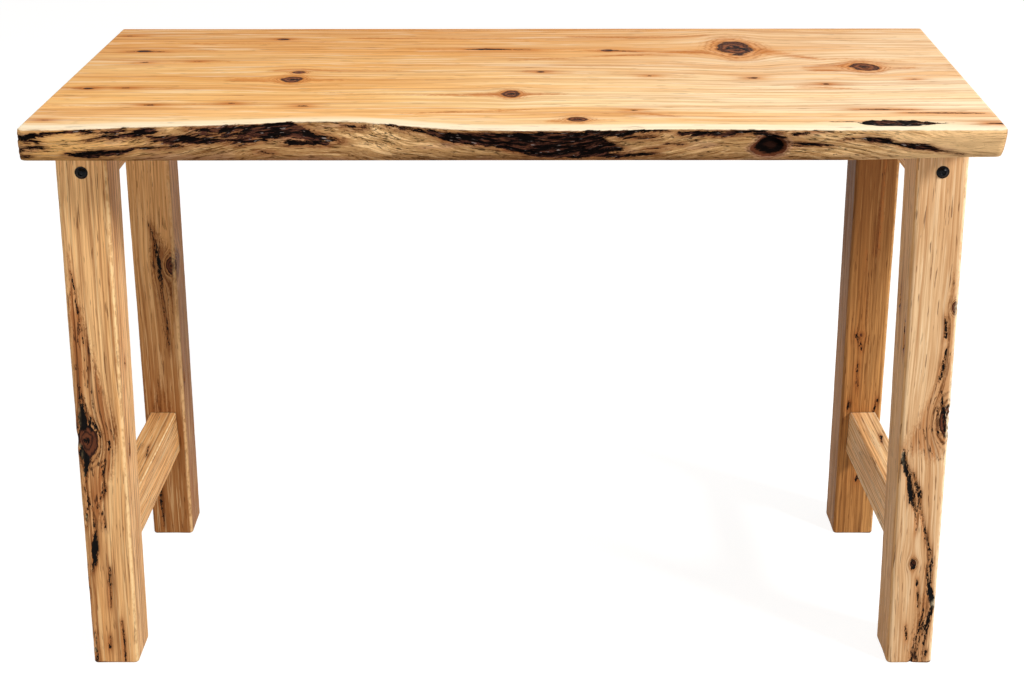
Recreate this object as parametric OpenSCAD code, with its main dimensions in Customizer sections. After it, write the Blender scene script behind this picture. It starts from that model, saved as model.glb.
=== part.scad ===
// Sofa table: one thick slab with a natural front edge, on two end frames.
// Each frame has two leaning square legs, a rail under the top and a low stretcher.
// Millimetres. X runs along the table, the natural edge faces -Y, Z is up from the floor.

/* [Top] */
// Height of the table
table_height = 762; // [500:1:900]
// Length of the top along its front edge
top_length = 1080; // [900:10:1400]
// Depth of the top from front to back
top_depth = 480; // [420:5:600]
// Thickness of the slab
top_thickness = 34; // [30:1:48]
// How much further the right end reaches at the back than at the front
end_skew = 26; // [0:1:40]
// Radius of the front corners, seen from above
corner_round = 10; // [2:1:20]
// Radius of the back arrises of the slab
back_round = 4; // [1:0.5:8]
// How far the top arris of the front edge is eased
top_ease = 5; // [1:0.5:8]
// How far the lower arris of the front edge is eased
under_ease = 3; // [1:0.5:8]
// Depth of the front strip that carries the natural edge
edge_band = 60; // [55:1:75]
// How far that strip runs on into the body of the slab
band_lap = 8; // [2:1:12]

/* [Legs] */
// Width and depth of a leg
leg_size = 60; // [54:1:72]
// Radius of a leg's long arrises
leg_round = 5; // [1:0.5:8]
// From the end of the top to the outside of a leg, under the top
end_overhang = 15; // [5:1:60]
// From the front edge of the top to the front legs
front_overhang = 80; // [50:1:100]
// From the back edge of the top to the rear legs
rear_overhang = 47; // [20:1:80]
// How far a front foot stands outward of its leg's top
front_spread = 35; // [0:1:50]
// How far a rear foot stands outward of its leg's top
rear_spread = 27; // [0:1:50]
// How far each foot stands forward or back of its leg's top
depth_spread = 10; // [0:1:20]

/* [Rails and stretchers] */
// Thickness of a top rail
rail_thickness = 38; // [34:1:46]
// Height of a top rail
rail_height = 66; // [60:1:90]
// Thickness of a stretcher
stretcher_thickness = 38; // [28:1:46]
// Height of a stretcher
stretcher_height = 66; // [52:1:90]
// Height of a stretcher's upper edge above the floor
stretcher_top = 213; // [120:1:400]
// Thickness of a stretcher's tenons
tenon_thickness = 16; // [10:1:24]
// Height of a stretcher's tenons
tenon_height = 46; // [30:1:50]
// Length of a stretcher's tenons
tenon_length = 35; // [20:1:45]

/* [Leg bolts] */
// Diameter of a leg bolt
bolt_d = 8; // [6:0.5:8]
// Depth of the bolts below the underside of the top
bolt_drop = 40; // [34:1:46]
// Diameter of a bolt's head
head_d = 15; // [13:0.5:20]
// Thickness of the flat rim under the head
rim_thickness = 1.4; // [1:0.1:2]
// Width of the flat rim around the head
rim_width = 1.2; // [0.5:0.1:2]
// Height of the head's dome
dome_height = 3.4; // [2.8:0.1:5]
// Size of the hexagon key that fits the head
key_size = 5; // [4:0.5:6]
// Depth of the hexagon socket
key_depth = 3; // [2:0.1:4]
// Depth of the flat seat cut into the leg for the head
seat_depth = 0.6; // [0.4:0.1:2]
// Diameter of a barrel nut
nut_d = 12; // [10:0.5:14]
// Length of a barrel nut
nut_length = 20; // [14:1:26]
// From the rail's end to the middle of its barrel nut
nut_inset = 45; // [32:1:52]
// Length of the bolt that stands past its nut
bolt_past_nut = 4; // [1:1:8]

/* [Dowels] */
// Diameter of the dowel beside each bolt
dowel_d = 10; // [8:0.5:12]
// Length of a dowel
dowel_length = 50; // [30:1:60]
// Depth of the dowels below the underside of the top
dowel_drop = 18; // [14:1:22]

/* [Top screws] */
// Number of screws through each rail into the top
screw_count = 2; // [1:1:2]
// From the tip of a leg bolt to the nearest screw
screw_from_bolt = 20; // [16:1:26]
// Diameter of a screw
screw_d = 5; // [4:0.5:6]
// Depth that a screw reaches into the top
screw_bite = 22; // [12:1:26]
// Diameter of a screw's head
screw_head_d = 9.5; // [8.5:0.5:11]
// Height of a screw's head
screw_head_h = 3; // [2:0.1:4]
// Diameter of the washer under the head
washer_d = 13; // [11.5:0.5:15]
// Thickness of the washer
washer_h = 1.2; // [0.8:0.1:2]
// Depth of the pocket for the head in the rail's lower edge
pocket_depth = 26; // [15:1:40]

/* [Fits] */
// Gap around tenons, dowels, nuts and threads
fit_gap = 0.1; // [0.05:0.05:0.2]
// Extra diameter of the bolt holes
bolt_hole_gap = 0.6; // [0.3:0.1:1]
// Extra diameter of the screw holes in the rails, for the slab to move
screw_hole_gap = 2; // [1:0.5:3]
// Room past the ends of tenons, dowels, bolts and screws
end_gap = 2; // [1:0.5:4]
// Room around a washer in its pocket
washer_gap = 1; // [0.5:0.5:2]

/* [Hidden] */
$fn = 48;
// Set-back of the natural edge's top arris every 60 mm from the left end
EDGE_STEP = 60;
TOP_SET = [2, 4, 12, 18, 24, 33, 34, 19, 4, 0, 0, 1, 5, 3, 1, 0, 0, 0, 0];
// Set-back of its lower arris at the same places
UNDER_SET = [0, 0, 0, 0, 0, 0, 0, 0, 0, 0, 0, 0, 0, 0, 0, 0, 4, 9, 11];
// Places on the edge's face where it is shaped, from its top, 0, to its underside, 1
FACE = [0, 0.04, 0.1, 0.2, 0.35, 0.55, 0.75, 0.88, 0.96, 1];
// Distance between the sections of the natural edge
section_step = 30;
front = 0;
rear = 1;
left = 0;
right = 1;
wood_top = [0.88, 0.68, 0.43];
wood_leg = [0.80, 0.58, 0.36];
wood_dowel = [0.85, 0.72, 0.52];
black_steel = [0.05, 0.05, 0.055];
zinc_steel = [0.66, 0.67, 0.68];
underside = table_height - top_thickness;
leg_half = leg_size / 2;
leg_x = top_length / 2 - end_overhang - leg_half;
front_leg_y = -top_depth / 2 + front_overhang + leg_half;
rear_leg_y = top_depth / 2 - rear_overhang - leg_half;
rail_middle = underside - rail_height / 2;
stretcher_middle = stretcher_top - stretcher_height / 2;
bolt_z = underside - bolt_drop;
nut_y = leg_half + nut_inset;
bolt_tip = nut_y + nut_d / 2 + bolt_past_nut;
dowel_z = underside - dowel_drop;
pocket_z = underside - rail_height + pocket_depth;
// The origin is the middle of the whole table's box, on the floor
foot_reach = leg_x + max(front_spread, rear_spread) + leg_half / cos(atan(front_spread / underside));
reach_left = max(top_length / 2, foot_reach);
reach_right = max(top_length / 2 + end_skew, foot_reach);
shift_x = (reach_left - reach_right) / 2;
// Longer than any piece, for cutting tools
far = top_length + top_depth + table_height;
cut = 1;

function spread(end) = end == front ? front_spread : rear_spread;
function leg_y(end) = end == front ? front_leg_y : rear_leg_y;
function outward(end) = end == front ? -1 : 1;
function drop_share(z) = (underside - z) / underside;
function axis_x(end, z) = leg_x + spread(end) * drop_share(z);
function axis_y(end, z) = leg_y(end) + outward(end) * depth_spread * drop_share(z);
function bar_angle(z) = atan2(axis_x(front, z) - axis_x(rear, z), axis_y(rear, z) - axis_y(front, z));
function bar_run(z) = norm([axis_x(rear, z) - axis_x(front, z), axis_y(rear, z) - axis_y(front, z)]);

// Smooth curve through a list of values, one every whole number
function item(list, i) = list[max(0, min(len(list) - 1, i))];
function blend(p, q, r, s, t) =
    0.5 * (2 * q + (r - p) * t + (2 * p - 5 * q + 4 * r - s) * t * t + (3 * q - p - 3 * r + s) * t * t * t);
function through(list, u, i) =
    blend(item(list, i - 1), item(list, i), item(list, i + 1), item(list, i + 2), u - i);
function curve(list, u) = max(0, through(list, u, floor(u)));

// Set-back of the edge at a distance from the left end, at a place down its face
function corner(d) = d >= corner_round ? 0 : corner_round - sqrt(corner_round ^ 2 - (corner_round - d) ^ 2);
function ease(v) = top_ease * (1 - v) ^ 9 + under_ease * v ^ 12;
function slope(along, v) =
    curve(TOP_SET, along / EDGE_STEP) * (1 - v) ^ 1.4 + curve(UNDER_SET, along / EDGE_STEP) * v ^ 1.6;
function setback(along, v) = slope(along, v) + ease(v) + corner(min(along, top_length - along));

// X of a place along the top, which grows longer towards the back
function skew_at(y) = end_skew * (y + top_depth / 2) / top_depth;
function along_x(along, y) = -top_length / 2 + along * (1 + skew_at(y) / top_length);

band_y = -top_depth / 2 + edge_band;
turn = [for (a = [0 : 22.5 : 90]) corner_round * (1 - cos(a))];
straight = [for (s = [section_step : section_step : top_length - section_step]) s];
stations = concat(turn, straight, [for (i = [len(turn) - 1 : -1 : 0]) top_length - turn[i]]);

module placed(side) {
    translate([shift_x, 0, 0])
        mirror([side == left ? 1 : 0, 0, 0])
            children();
}

module round_square(size, radius) {
    for (x = [-1, 1], y = [-1, 1])
        translate([x, y] * (size / 2 - radius))
            circle(radius);
    square([size, size - 2 * radius], center = true);
    square([size - 2 * radius, size], center = true);
}

// Frame of a bar between the two legs of one end: X outward, Y from the front leg's axis to the rear one's
module bar_frame(z) {
    translate([axis_x(front, z), axis_y(front, z), 0])
        rotate(bar_angle(z))
            children();
}

// The same frame at either end of the top rail, with Y pointing into the rail
module rail_end(end) {
    bar_frame(rail_middle)
        translate([0, end == front ? 0 : bar_run(rail_middle), 0])
            mirror([0, end == front ? 0 : 1, 0])
                children();
}

module along_bar(d, from, to, z) {
    translate([0, from, z])
        rotate([-90, 0, 0])
            cylinder(d = d, h = to - from);
}

module leg_blank(end) {
    lean_y = -atan(spread(end) / underside);
    lean_x = atan(outward(end) * depth_spread / underside * cos(lean_y));
    intersection() {
        translate([leg_x, leg_y(end), underside])
            rotate([lean_x, lean_y, 0])
                translate([0, 0, -underside - leg_size])
                    linear_extrude(underside + 2 * leg_size)
                        round_square(leg_size, leg_round);
        translate([-far, -far, 0])
            cube([2 * far, 2 * far, underside]);
    }
}

module bar_blank(z, thickness, height) {
    difference() {
        bar_frame(z)
            translate([-thickness / 2, 0, z - height / 2])
                cube([thickness, bar_run(z), height]);
        leg_blank(front);
        leg_blank(rear);
    }
}

module tenons(gap, room) {
    run = bar_run(stretcher_middle);
    reach = tenon_length - leg_half + room;
    bar_frame(stretcher_middle)
        translate([-tenon_thickness / 2 - gap, -reach, stretcher_middle - tenon_height / 2 - gap])
            cube([tenon_thickness + 2 * gap, run + 2 * reach, tenon_height + 2 * gap]);
}

module bolt_shape() {
    seat = -leg_half + seat_depth;
    dome_d = head_d - 2 * rim_width;
    dome_r = (dome_d ^ 2 / 4 + dome_height ^ 2) / (2 * dome_height);
    translate([0, seat, bolt_z])
        rotate([90, 0, 0])
            difference() {
                union() {
                    cylinder(d = head_d, h = rim_thickness);
                    rotate_extrude()
                        intersection() {
                            translate([0, rim_thickness + dome_height - dome_r])
                                circle(dome_r);
                            square([dome_d / 2, rim_thickness + dome_height]);
                        }
                }
                translate([0, 0, rim_thickness + dome_height - key_depth])
                    cylinder(d = key_size / cos(30), h = key_depth + cut, $fn = 6);
            }
    along_bar(bolt_d, seat, bolt_tip, bolt_z);
}

module leg(end) {
    color(wood_leg)
        difference() {
            leg_blank(end);
            tenons(fit_gap, end_gap);
            rail_end(end) {
                along_bar(bolt_d + bolt_hole_gap, -leg_size, leg_size, bolt_z);
                along_bar(head_d + 2 * fit_gap, -leg_size, -leg_half + seat_depth, bolt_z);
                along_bar(dowel_d + 2 * fit_gap, leg_half - dowel_length / 2 - end_gap, leg_size, dowel_z);
            }
        }
}

module top_rail() {
    color(wood_leg)
        difference() {
            bar_blank(rail_middle, rail_thickness, rail_height);
            for (end = [front, rear])
                rail_end(end) {
                    along_bar(bolt_d + bolt_hole_gap, 0, bolt_tip + end_gap, bolt_z);
                    along_bar(dowel_d + 2 * fit_gap, 0, leg_half + dowel_length / 2 + end_gap, dowel_z);
                    translate([-rail_thickness, nut_y, bolt_z])
                        rotate([0, 90, 0])
                            cylinder(d = nut_d + 2 * fit_gap, h = rail_thickness + nut_length / 2 + fit_gap);
                }
            at_screws() {
                cylinder(d = screw_d + screw_hole_gap, h = underside + cut);
                cylinder(d = washer_d + 2 * washer_gap, h = pocket_z);
            }
        }
}

module stretcher() {
    color(wood_leg)
        union() {
            bar_blank(stretcher_middle, stretcher_thickness, stretcher_height);
            tenons(0, 0);
        }
}

module leg_bolt(end) {
    color(black_steel)
        rail_end(end)
            bolt_shape();
}

module barrel_nut(end) {
    color(zinc_steel)
        rail_end(end)
            difference() {
                translate([-nut_length / 2, nut_y, bolt_z])
                    rotate([0, 90, 0])
                        cylinder(d = nut_d, h = nut_length);
                along_bar(bolt_d + 2 * fit_gap, 0, nut_y + nut_d, bolt_z);
            }
}

module rail_dowel(end) {
    color(wood_dowel)
        rail_end(end)
            along_bar(dowel_d, leg_half - dowel_length / 2, leg_half + dowel_length / 2, dowel_z);
}

module at_screws() {
    run = bar_run(rail_middle);
    first = screw_count == 1 ? run / 2 : bolt_tip + screw_from_bolt;
    for (i = [0 : screw_count - 1])
        bar_frame(rail_middle)
            translate([0, first + i * (run - 2 * first) / max(1, screw_count - 1), 0])
                children();
}

module top_screws() {
    head_top = pocket_z - washer_h;
    color(zinc_steel)
        at_screws() {
            translate([0, 0, head_top - screw_head_h])
                cylinder(d = screw_head_d, h = screw_head_h);
            translate([0, 0, head_top])
                cylinder(d = screw_d, h = underside + screw_bite - head_top);
        }
}

module screw_washers() {
    color(zinc_steel)
        at_screws()
            translate([0, 0, pocket_z - washer_h])
                difference() {
                    cylinder(d = washer_d, h = washer_h);
                    translate([0, 0, -cut])
                        cylinder(d = screw_d + 2 * fit_gap, h = washer_h + 2 * cut);
                }
}

module slab_core() {
    back = top_depth / 2;
    intersection() {
        translate([-far / 2, 0, underside])
            rotate([90, 0, 90])
                linear_extrude(far) {
                    translate([band_y, 0])
                        square([back - back_round - band_y, top_thickness]);
                    translate([band_y, back_round])
                        square([back - band_y, top_thickness - 2 * back_round]);
                    for (z = [back_round, top_thickness - back_round])
                        translate([back - back_round, z])
                            circle(back_round);
                }
        linear_extrude(table_height + cut)
            polygon([
                [along_x(0, band_y), band_y],
                [along_x(top_length, band_y), band_y],
                [along_x(top_length, back), back],
                [along_x(0, back), back]
            ]);
    }
}

module natural_edge() {
    n = len(FACE) + 2;
    last = len(stations) - 1;
    rings = [for (s = stations) concat(
        [[s, band_y + band_lap, 0]],
        [for (v = FACE) [s, -top_depth / 2 + setback(s, v), v]],
        [[s, band_y + band_lap, 1]]
    )];
    points = [for (ring = rings, p = ring) [along_x(p[0], p[1]), p[1], table_height - p[2] * top_thickness]];
    sides = [for (i = [0 : last - 1], j = [0 : n - 1]) let (
        a = i * n + j, b = i * n + (j + 1) % n, c = b + n, d = a + n
    ) each [[a, d, c], [a, c, b]]];
    left_end = [for (j = [0 : n - 1]) j];
    right_end = [for (j = [n - 1 : -1 : 0]) last * n + j];
    polyhedron(points, concat(sides, [left_end, right_end]));
}

module slab() {
    color(wood_top)
        difference() {
            union() {
                slab_core();
                natural_edge();
            }
            for (side = [left, right])
                mirror([side == left ? 1 : 0, 0, 0])
                    at_screws()
                        translate([0, 0, underside - cut])
                            cylinder(d = screw_d + 2 * fit_gap, h = screw_bite + end_gap + cut);
        }
}

module table_top() { placed(right) slab(); }
module leg_front_left() { placed(left) leg(front); }
module leg_front_right() { placed(right) leg(front); }
module leg_rear_left() { placed(left) leg(rear); }
module leg_rear_right() { placed(right) leg(rear); }
module top_rail_left() { placed(left) top_rail(); }
module top_rail_right() { placed(right) top_rail(); }
module stretcher_left() { placed(left) stretcher(); }
module stretcher_right() { placed(right) stretcher(); }
module leg_bolt_front_left() { placed(left) leg_bolt(front); }
module leg_bolt_front_right() { placed(right) leg_bolt(front); }
module leg_bolt_rear_left() { placed(left) leg_bolt(rear); }
module leg_bolt_rear_right() { placed(right) leg_bolt(rear); }
module barrel_nut_front_left() { placed(left) barrel_nut(front); }
module barrel_nut_front_right() { placed(right) barrel_nut(front); }
module barrel_nut_rear_left() { placed(left) barrel_nut(rear); }
module barrel_nut_rear_right() { placed(right) barrel_nut(rear); }
module rail_dowel_front_left() { placed(left) rail_dowel(front); }
module rail_dowel_front_right() { placed(right) rail_dowel(front); }
module rail_dowel_rear_left() { placed(left) rail_dowel(rear); }
module rail_dowel_rear_right() { placed(right) rail_dowel(rear); }
module top_screws_left() { placed(left) top_screws(); }
module top_screws_right() { placed(right) top_screws(); }
module screw_washers_left() { placed(left) screw_washers(); }
module screw_washers_right() { placed(right) screw_washers(); }

table_top();
leg_front_left();
leg_front_right();
leg_rear_left();
leg_rear_right();
top_rail_left();
top_rail_right();
stretcher_left();
stretcher_right();
leg_bolt_front_left();
leg_bolt_front_right();
leg_bolt_rear_left();
leg_bolt_rear_right();
barrel_nut_front_left();
barrel_nut_front_right();
barrel_nut_rear_left();
barrel_nut_rear_right();
rail_dowel_front_left();
rail_dowel_front_right();
rail_dowel_rear_left();
rail_dowel_rear_right();
top_screws_left();
top_screws_right();
screw_washers_left();
screw_washers_right();
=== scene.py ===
"""Sofa table: a slab with a natural front edge on two end frames, dressed and lit.

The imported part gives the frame. Sizes and places on the table are millimetres, and MM turns them into metres
where a mesh or a node is made. Looks, node groups, camera, lights and floor use metres. Depths that a mesh
carries to its material stay millimetres, and scales of noise in a material are waves per metre.
"""

import math

import bmesh
import bpy
from mathutils import Matrix, Vector, noise


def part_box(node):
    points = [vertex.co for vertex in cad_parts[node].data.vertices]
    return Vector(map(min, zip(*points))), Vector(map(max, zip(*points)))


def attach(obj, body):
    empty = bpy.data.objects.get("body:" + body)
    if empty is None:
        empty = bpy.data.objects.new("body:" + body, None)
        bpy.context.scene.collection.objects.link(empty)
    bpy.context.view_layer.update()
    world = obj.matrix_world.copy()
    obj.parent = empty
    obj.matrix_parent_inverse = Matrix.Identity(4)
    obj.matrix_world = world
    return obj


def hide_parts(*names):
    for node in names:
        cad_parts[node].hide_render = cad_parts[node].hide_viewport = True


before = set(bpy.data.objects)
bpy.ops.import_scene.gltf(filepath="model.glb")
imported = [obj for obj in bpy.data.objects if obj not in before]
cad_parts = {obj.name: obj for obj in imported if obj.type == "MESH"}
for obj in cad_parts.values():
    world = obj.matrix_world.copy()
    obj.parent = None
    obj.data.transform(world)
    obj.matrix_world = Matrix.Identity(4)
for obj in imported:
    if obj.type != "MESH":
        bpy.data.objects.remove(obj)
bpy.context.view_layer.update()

MM = 0.001

# Sizes of the part that its boxes don't tell
END_SKEW = 26
CORNER_ROUND = 10
BACK_ROUND = 4
TOP_EASE = 5
UNDER_EASE = 3
LEG_SIZE = 60
LEG_ROUND = 5
END_OVERHANG = 15
FRONT_OVERHANG = 80
REAR_OVERHANG = 47
FRONT_SPREAD = 35
REAR_SPREAD = 27
DEPTH_SPREAD = 10
BAR_THICKNESS = 38
BAR_HEIGHT = 66
STRETCHER_TOP = 213
TENON_THICKNESS = 16
TENON_HEIGHT = 46
TENON_LENGTH = 35
BOLT_DROP = 40
BOLT_D = 8
BOLT_TIP = 85
HEAD_D = 15
RIM_WIDTH = 1.2
RIM_THICKNESS = 1.4
DOME_HEIGHT = 3.4
KEY_SIZE = 5
KEY_DEPTH = 3
SEAT_DEPTH = 0.6

# Set-back of the natural edge's two arrises every 60 mm from the left end
EDGE_STEP = 60
TOP_SET = [2, 4, 12, 18, 24, 33, 34, 19, 4, 0, 0, 1, 5, 3, 1, 0, 0, 0, 0]
UNDER_SET = [0, 0, 0, 0, 0, 0, 0, 0, 0, 0, 0, 0, 0, 0, 0, 0, 4, 9, 11]

slab_low, slab_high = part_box("table_top")
SLAB_THICKNESS = (slab_high.z - slab_low.z) / MM
SLAB_DEPTH = 2 * slab_high.y / MM
SLAB_LENGTH = (slab_high.x - slab_low.x) / MM - END_SKEW
UNDERSIDE = slab_low.z / MM
MIDDLE_X = (slab_low.x / MM) + SLAB_LENGTH / 2
RAIL_MIDDLE = UNDERSIDE - BAR_HEIGHT / 2
STRETCHER_MIDDLE = STRETCHER_TOP - BAR_HEIGHT / 2
LEG_X = SLAB_LENGTH / 2 - END_OVERHANG - LEG_SIZE / 2
FRONT_LEG_Y = -SLAB_DEPTH / 2 + FRONT_OVERHANG + LEG_SIZE / 2
REAR_LEG_Y = SLAB_DEPTH / 2 - REAR_OVERHANG - LEG_SIZE / 2


# Colours

def colour(red, green, blue):
    """A colour written in the usual 0 to 255, as the linear value that a shader takes."""
    def linear(value):
        share = value / 255
        return share / 12.92 if share <= 0.04045 else ((share + 0.055) / 1.055) ** 2.4
    return (linear(red), linear(green), linear(blue), 1)


HONEY = colour(255, 216, 150)
AMBER = colour(247, 187, 110)
CREAM = colour(255, 238, 206)
BACK_AMBER = colour(220, 152, 82)
LATE_WOOD = colour(178, 104, 46)
PORE_AND_SHADE_BROWN = colour(112, 64, 30)
EDGE_CREAM = colour(246, 202, 146)
EDGE_TAN = colour(188, 144, 94)
EDGE_BROWN = colour(124, 84, 48)
EDGE_PINK = colour(208, 158, 130)
EDGE_GOLD = colour(250, 182, 94)
BARK_BLACK = colour(14, 9, 8)
BARK_BROWN = colour(88, 52, 40)
BARK_GREY = colour(172, 154, 146)
KNOT_BROWN = colour(138, 80, 48)
KNOT_DARK = colour(48, 26, 19)
KNOT_RED = colour(160, 92, 46)
FLARE = colour(206, 128, 58)
KNOT_DEEP = colour(100, 56, 36)
LEG_DEEP = colour(86, 46, 22)
CRACK_BLACK = colour(10, 7, 6)
LEG_LIGHT = colour(255, 220, 164)
LEG_PALE = colour(247, 196, 136)
LEG_TAN = colour(226, 166, 104)
LEG_BROWN = colour(136, 78, 36)


# Node sheets

class Sheet:
    """Puts nodes on a material's or a group's sheet and wires them."""

    def __init__(self, tree):
        self.tree = tree

    def feed(self, socket, value):
        if isinstance(value, bpy.types.NodeSocket):
            self.tree.links.new(value, socket)
        else:
            socket.default_value = value

    def node(self, kind, inputs=(), **settings):
        made = self.tree.nodes.new(kind)
        for name, value in settings.items():
            setattr(made, name, value)
        for name, value in dict(inputs).items():
            self.feed(made.inputs[name], value)
        return made

    def maths(self, operation, *values, clamp=False):
        made = self.node("ShaderNodeMath", operation=operation, use_clamp=clamp)
        for i, value in enumerate(values):
            self.feed(made.inputs[i], value)
        return made.outputs[0]

    def vector(self, operation, *values, scale=None):
        made = self.node("ShaderNodeVectorMath", operation=operation)
        for i, value in enumerate(values):
            self.feed(made.inputs[i], value)
        if scale is not None:
            self.feed(made.inputs["Scale"], scale)
        return made.outputs["Value" if operation in ("LENGTH", "DOT_PRODUCT") else "Vector"]

    def between(self, value, low, high, to_low=0.0, to_high=1.0, smooth=True):
        made = self.node("ShaderNodeMapRange", {
            "Value": value, "From Min": low, "From Max": high, "To Min": to_low, "To Max": to_high,
        }, interpolation_type="SMOOTHSTEP" if smooth else "LINEAR")
        return made.outputs["Result"]

    def mix(self, share, first, second, blend="MIX"):
        made = self.node("ShaderNodeMix", data_type="RGBA", blend_type=blend)
        self.feed(made.inputs[0], share)
        self.feed(made.inputs[6], first)
        self.feed(made.inputs[7], second)
        return made.outputs[2]

    def noise(self, place, stretch, detail=2.0, rough=0.55, warp=0.0):
        """Noise whose scale along each axis is in waves per metre."""
        scaled = self.vector("MULTIPLY", place, stretch)
        made = self.node("ShaderNodeTexNoise", {
            "Vector": scaled, "Scale": 1.0, "Detail": detail, "Roughness": rough, "Distortion": warp,
        })
        return made.outputs["Fac"]

    def separate(self, place):
        return self.node("ShaderNodeSeparateXYZ", {"Vector": place}).outputs

    def join(self, x, y, z):
        return self.node("ShaderNodeCombineXYZ", {"X": x, "Y": y, "Z": z}).outputs[0]

    def attribute(self, name):
        return self.node("ShaderNodeAttribute", attribute_name=name).outputs["Fac"]

    def group(self, tree, values):
        """Places an effect and feeds it those of the values that it has a socket for."""
        made = self.node("ShaderNodeGroup", node_tree=tree)
        for name, value in values.items():
            if name in made.inputs:
                self.feed(made.inputs[name], value)
        return made.outputs


def sockets(kind, *names):
    return {name: kind for name in names}


def effect(name, inputs, outputs):
    """A new node group with its sockets, as (sheet, its inputs, a function that ends it)."""
    tree = bpy.data.node_groups.new(name, "ShaderNodeTree")
    for socket, kind in inputs.items():
        tree.interface.new_socket(socket, in_out="INPUT", socket_type="NodeSocket" + kind)
    for socket, kind in outputs.items():
        tree.interface.new_socket(socket, in_out="OUTPUT", socket_type="NodeSocket" + kind)
    sheet = Sheet(tree)
    given = tree.nodes.new("NodeGroupInput").outputs
    ending = tree.nodes.new("NodeGroupOutput")

    def end(**values):
        for socket, value in values.items():
            sheet.feed(ending.inputs[socket.replace("_", " ")], value)
        return tree
    return sheet, given, end


def after(sheet, place, mark):
    """The same place to within a millionth of a metre. It makes the next mark wait for this one.

    A long row of marks is then worked out one at a time and fits in the renderer's memory for one material.
    """
    return sheet.vector("MULTIPLY_ADD", mark, (1e-7, 1e-7, 1e-7), place)


GRAIN_MASKS = ("Late Wood", "Bands", "Streaks", "Fibre", "Pores", "Glints")


def growth_effect():
    """Growth rings round a pith that lies along X, with bands, streaks, fine fibre, pores and glints."""
    sheet, given, end = effect(
        "Growth",
        sockets("Vector", "Place", "Pith") | sockets("Float", "Ring Gap", "Wander", "Seed", "Fineness"),
        sockets("Float", *GRAIN_MASKS),
    )
    shift = sheet.join(given["Seed"], given["Seed"], given["Seed"])
    place = sheet.vector("ADD", given["Place"], shift)
    fine = sheet.vector("MULTIPLY", place, sheet.join(1.0, given["Fineness"], given["Fineness"]))
    wander = sheet.noise(place, (1.6, 7.0, 7.0), detail=2.0, rough=0.5)
    ripple = sheet.noise(place, (7.0, 46.0, 46.0), detail=2.0, rough=0.6)
    away = sheet.vector("SUBTRACT", given["Place"], given["Pith"])
    away = sheet.vector("MULTIPLY", away, (0.0, 1.0, 1.0))
    swing = sheet.maths("MULTIPLY", sheet.maths("SUBTRACT", wander, 0.5), given["Wander"])
    swing = sheet.maths("MULTIPLY_ADD", sheet.maths("SUBTRACT", ripple, 0.5), 0.009, swing)
    radius = sheet.maths("ADD", sheet.vector("LENGTH", away), swing)
    count = sheet.maths("DIVIDE", radius, given["Ring Gap"])
    whole = sheet.maths("FLOOR", count)
    part = sheet.maths("SUBTRACT", count, whole)
    rise = sheet.between(part, 0.42, 0.90)
    fall = sheet.between(part, 0.90, 1.0, 1.0, 0.0)
    each = sheet.node("ShaderNodeTexWhiteNoise", {"W": whole}, noise_dimensions="1D").outputs["Value"]
    strength = sheet.between(each, 0.1, 1.0, 0.2, 1.0, smooth=False)
    patchy = sheet.between(sheet.noise(place, (3.0, 30.0, 30.0)), 0.35, 0.62, 0.25, 1.0)
    line = sheet.maths("MULTIPLY", rise, fall)
    glints = sheet.noise(fine, (8.0, 310.0, 310.0), detail=2.0, rough=0.6, warp=0.2)
    return end(
        Late_Wood=sheet.maths("MULTIPLY", line, sheet.maths("MULTIPLY", strength, patchy)),
        Bands=sheet.between(sheet.noise(place, (1.1, 20.0, 20.0), detail=4.0, rough=0.6), 0.36, 0.64),
        Streaks=sheet.between(sheet.noise(fine, (2.2, 270.0, 270.0), detail=2.0, rough=0.6), 0.49, 0.61),
        Fibre=sheet.between(sheet.noise(fine, (9.0, 430.0, 430.0), detail=2.0, rough=0.7), 0.44, 0.60),
        Pores=sheet.between(sheet.noise(fine, (26.0, 400.0, 400.0), detail=2.0, rough=0.6), 0.62, 0.68),
        Glints=sheet.between(glints, 0.54, 0.63),
    )


def knot_effect():
    """One knot: bends the grain round it and keeps how far off the nearest knot is, 1 being its rim."""
    before = sockets("Vector", "Place", "Bend") | sockets("Float", "Nearest")
    own = sockets("Vector", "Centre", "Reach") | sockets("Float", "Pull")
    sheet, given, end = effect("Knot", own | before, before)
    away = sheet.vector("SUBTRACT", given["Place"], given["Centre"])
    even = sheet.vector("DIVIDE", away, given["Reach"])
    sideways = sheet.maths("ABSOLUTE", sheet.separate(even)[1])
    far = sheet.maths("MULTIPLY", sheet.vector("LENGTH", even), 0.85)
    far = sheet.maths("MULTIPLY_ADD", sideways, 0.35, far)
    pull = sheet.maths("DIVIDE", given["Pull"], sheet.maths("MULTIPLY_ADD", far, far, 0.45))
    across = sheet.vector("MULTIPLY", away, (0.0, 1.0, 1.0))
    bend = sheet.vector("SUBTRACT", given["Bend"], sheet.vector("SCALE", across, scale=pull))
    nearest = sheet.maths("MINIMUM", given["Nearest"], far)
    return end(Place=after(sheet, given["Place"], nearest), Bend=bend, Nearest=nearest)


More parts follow.
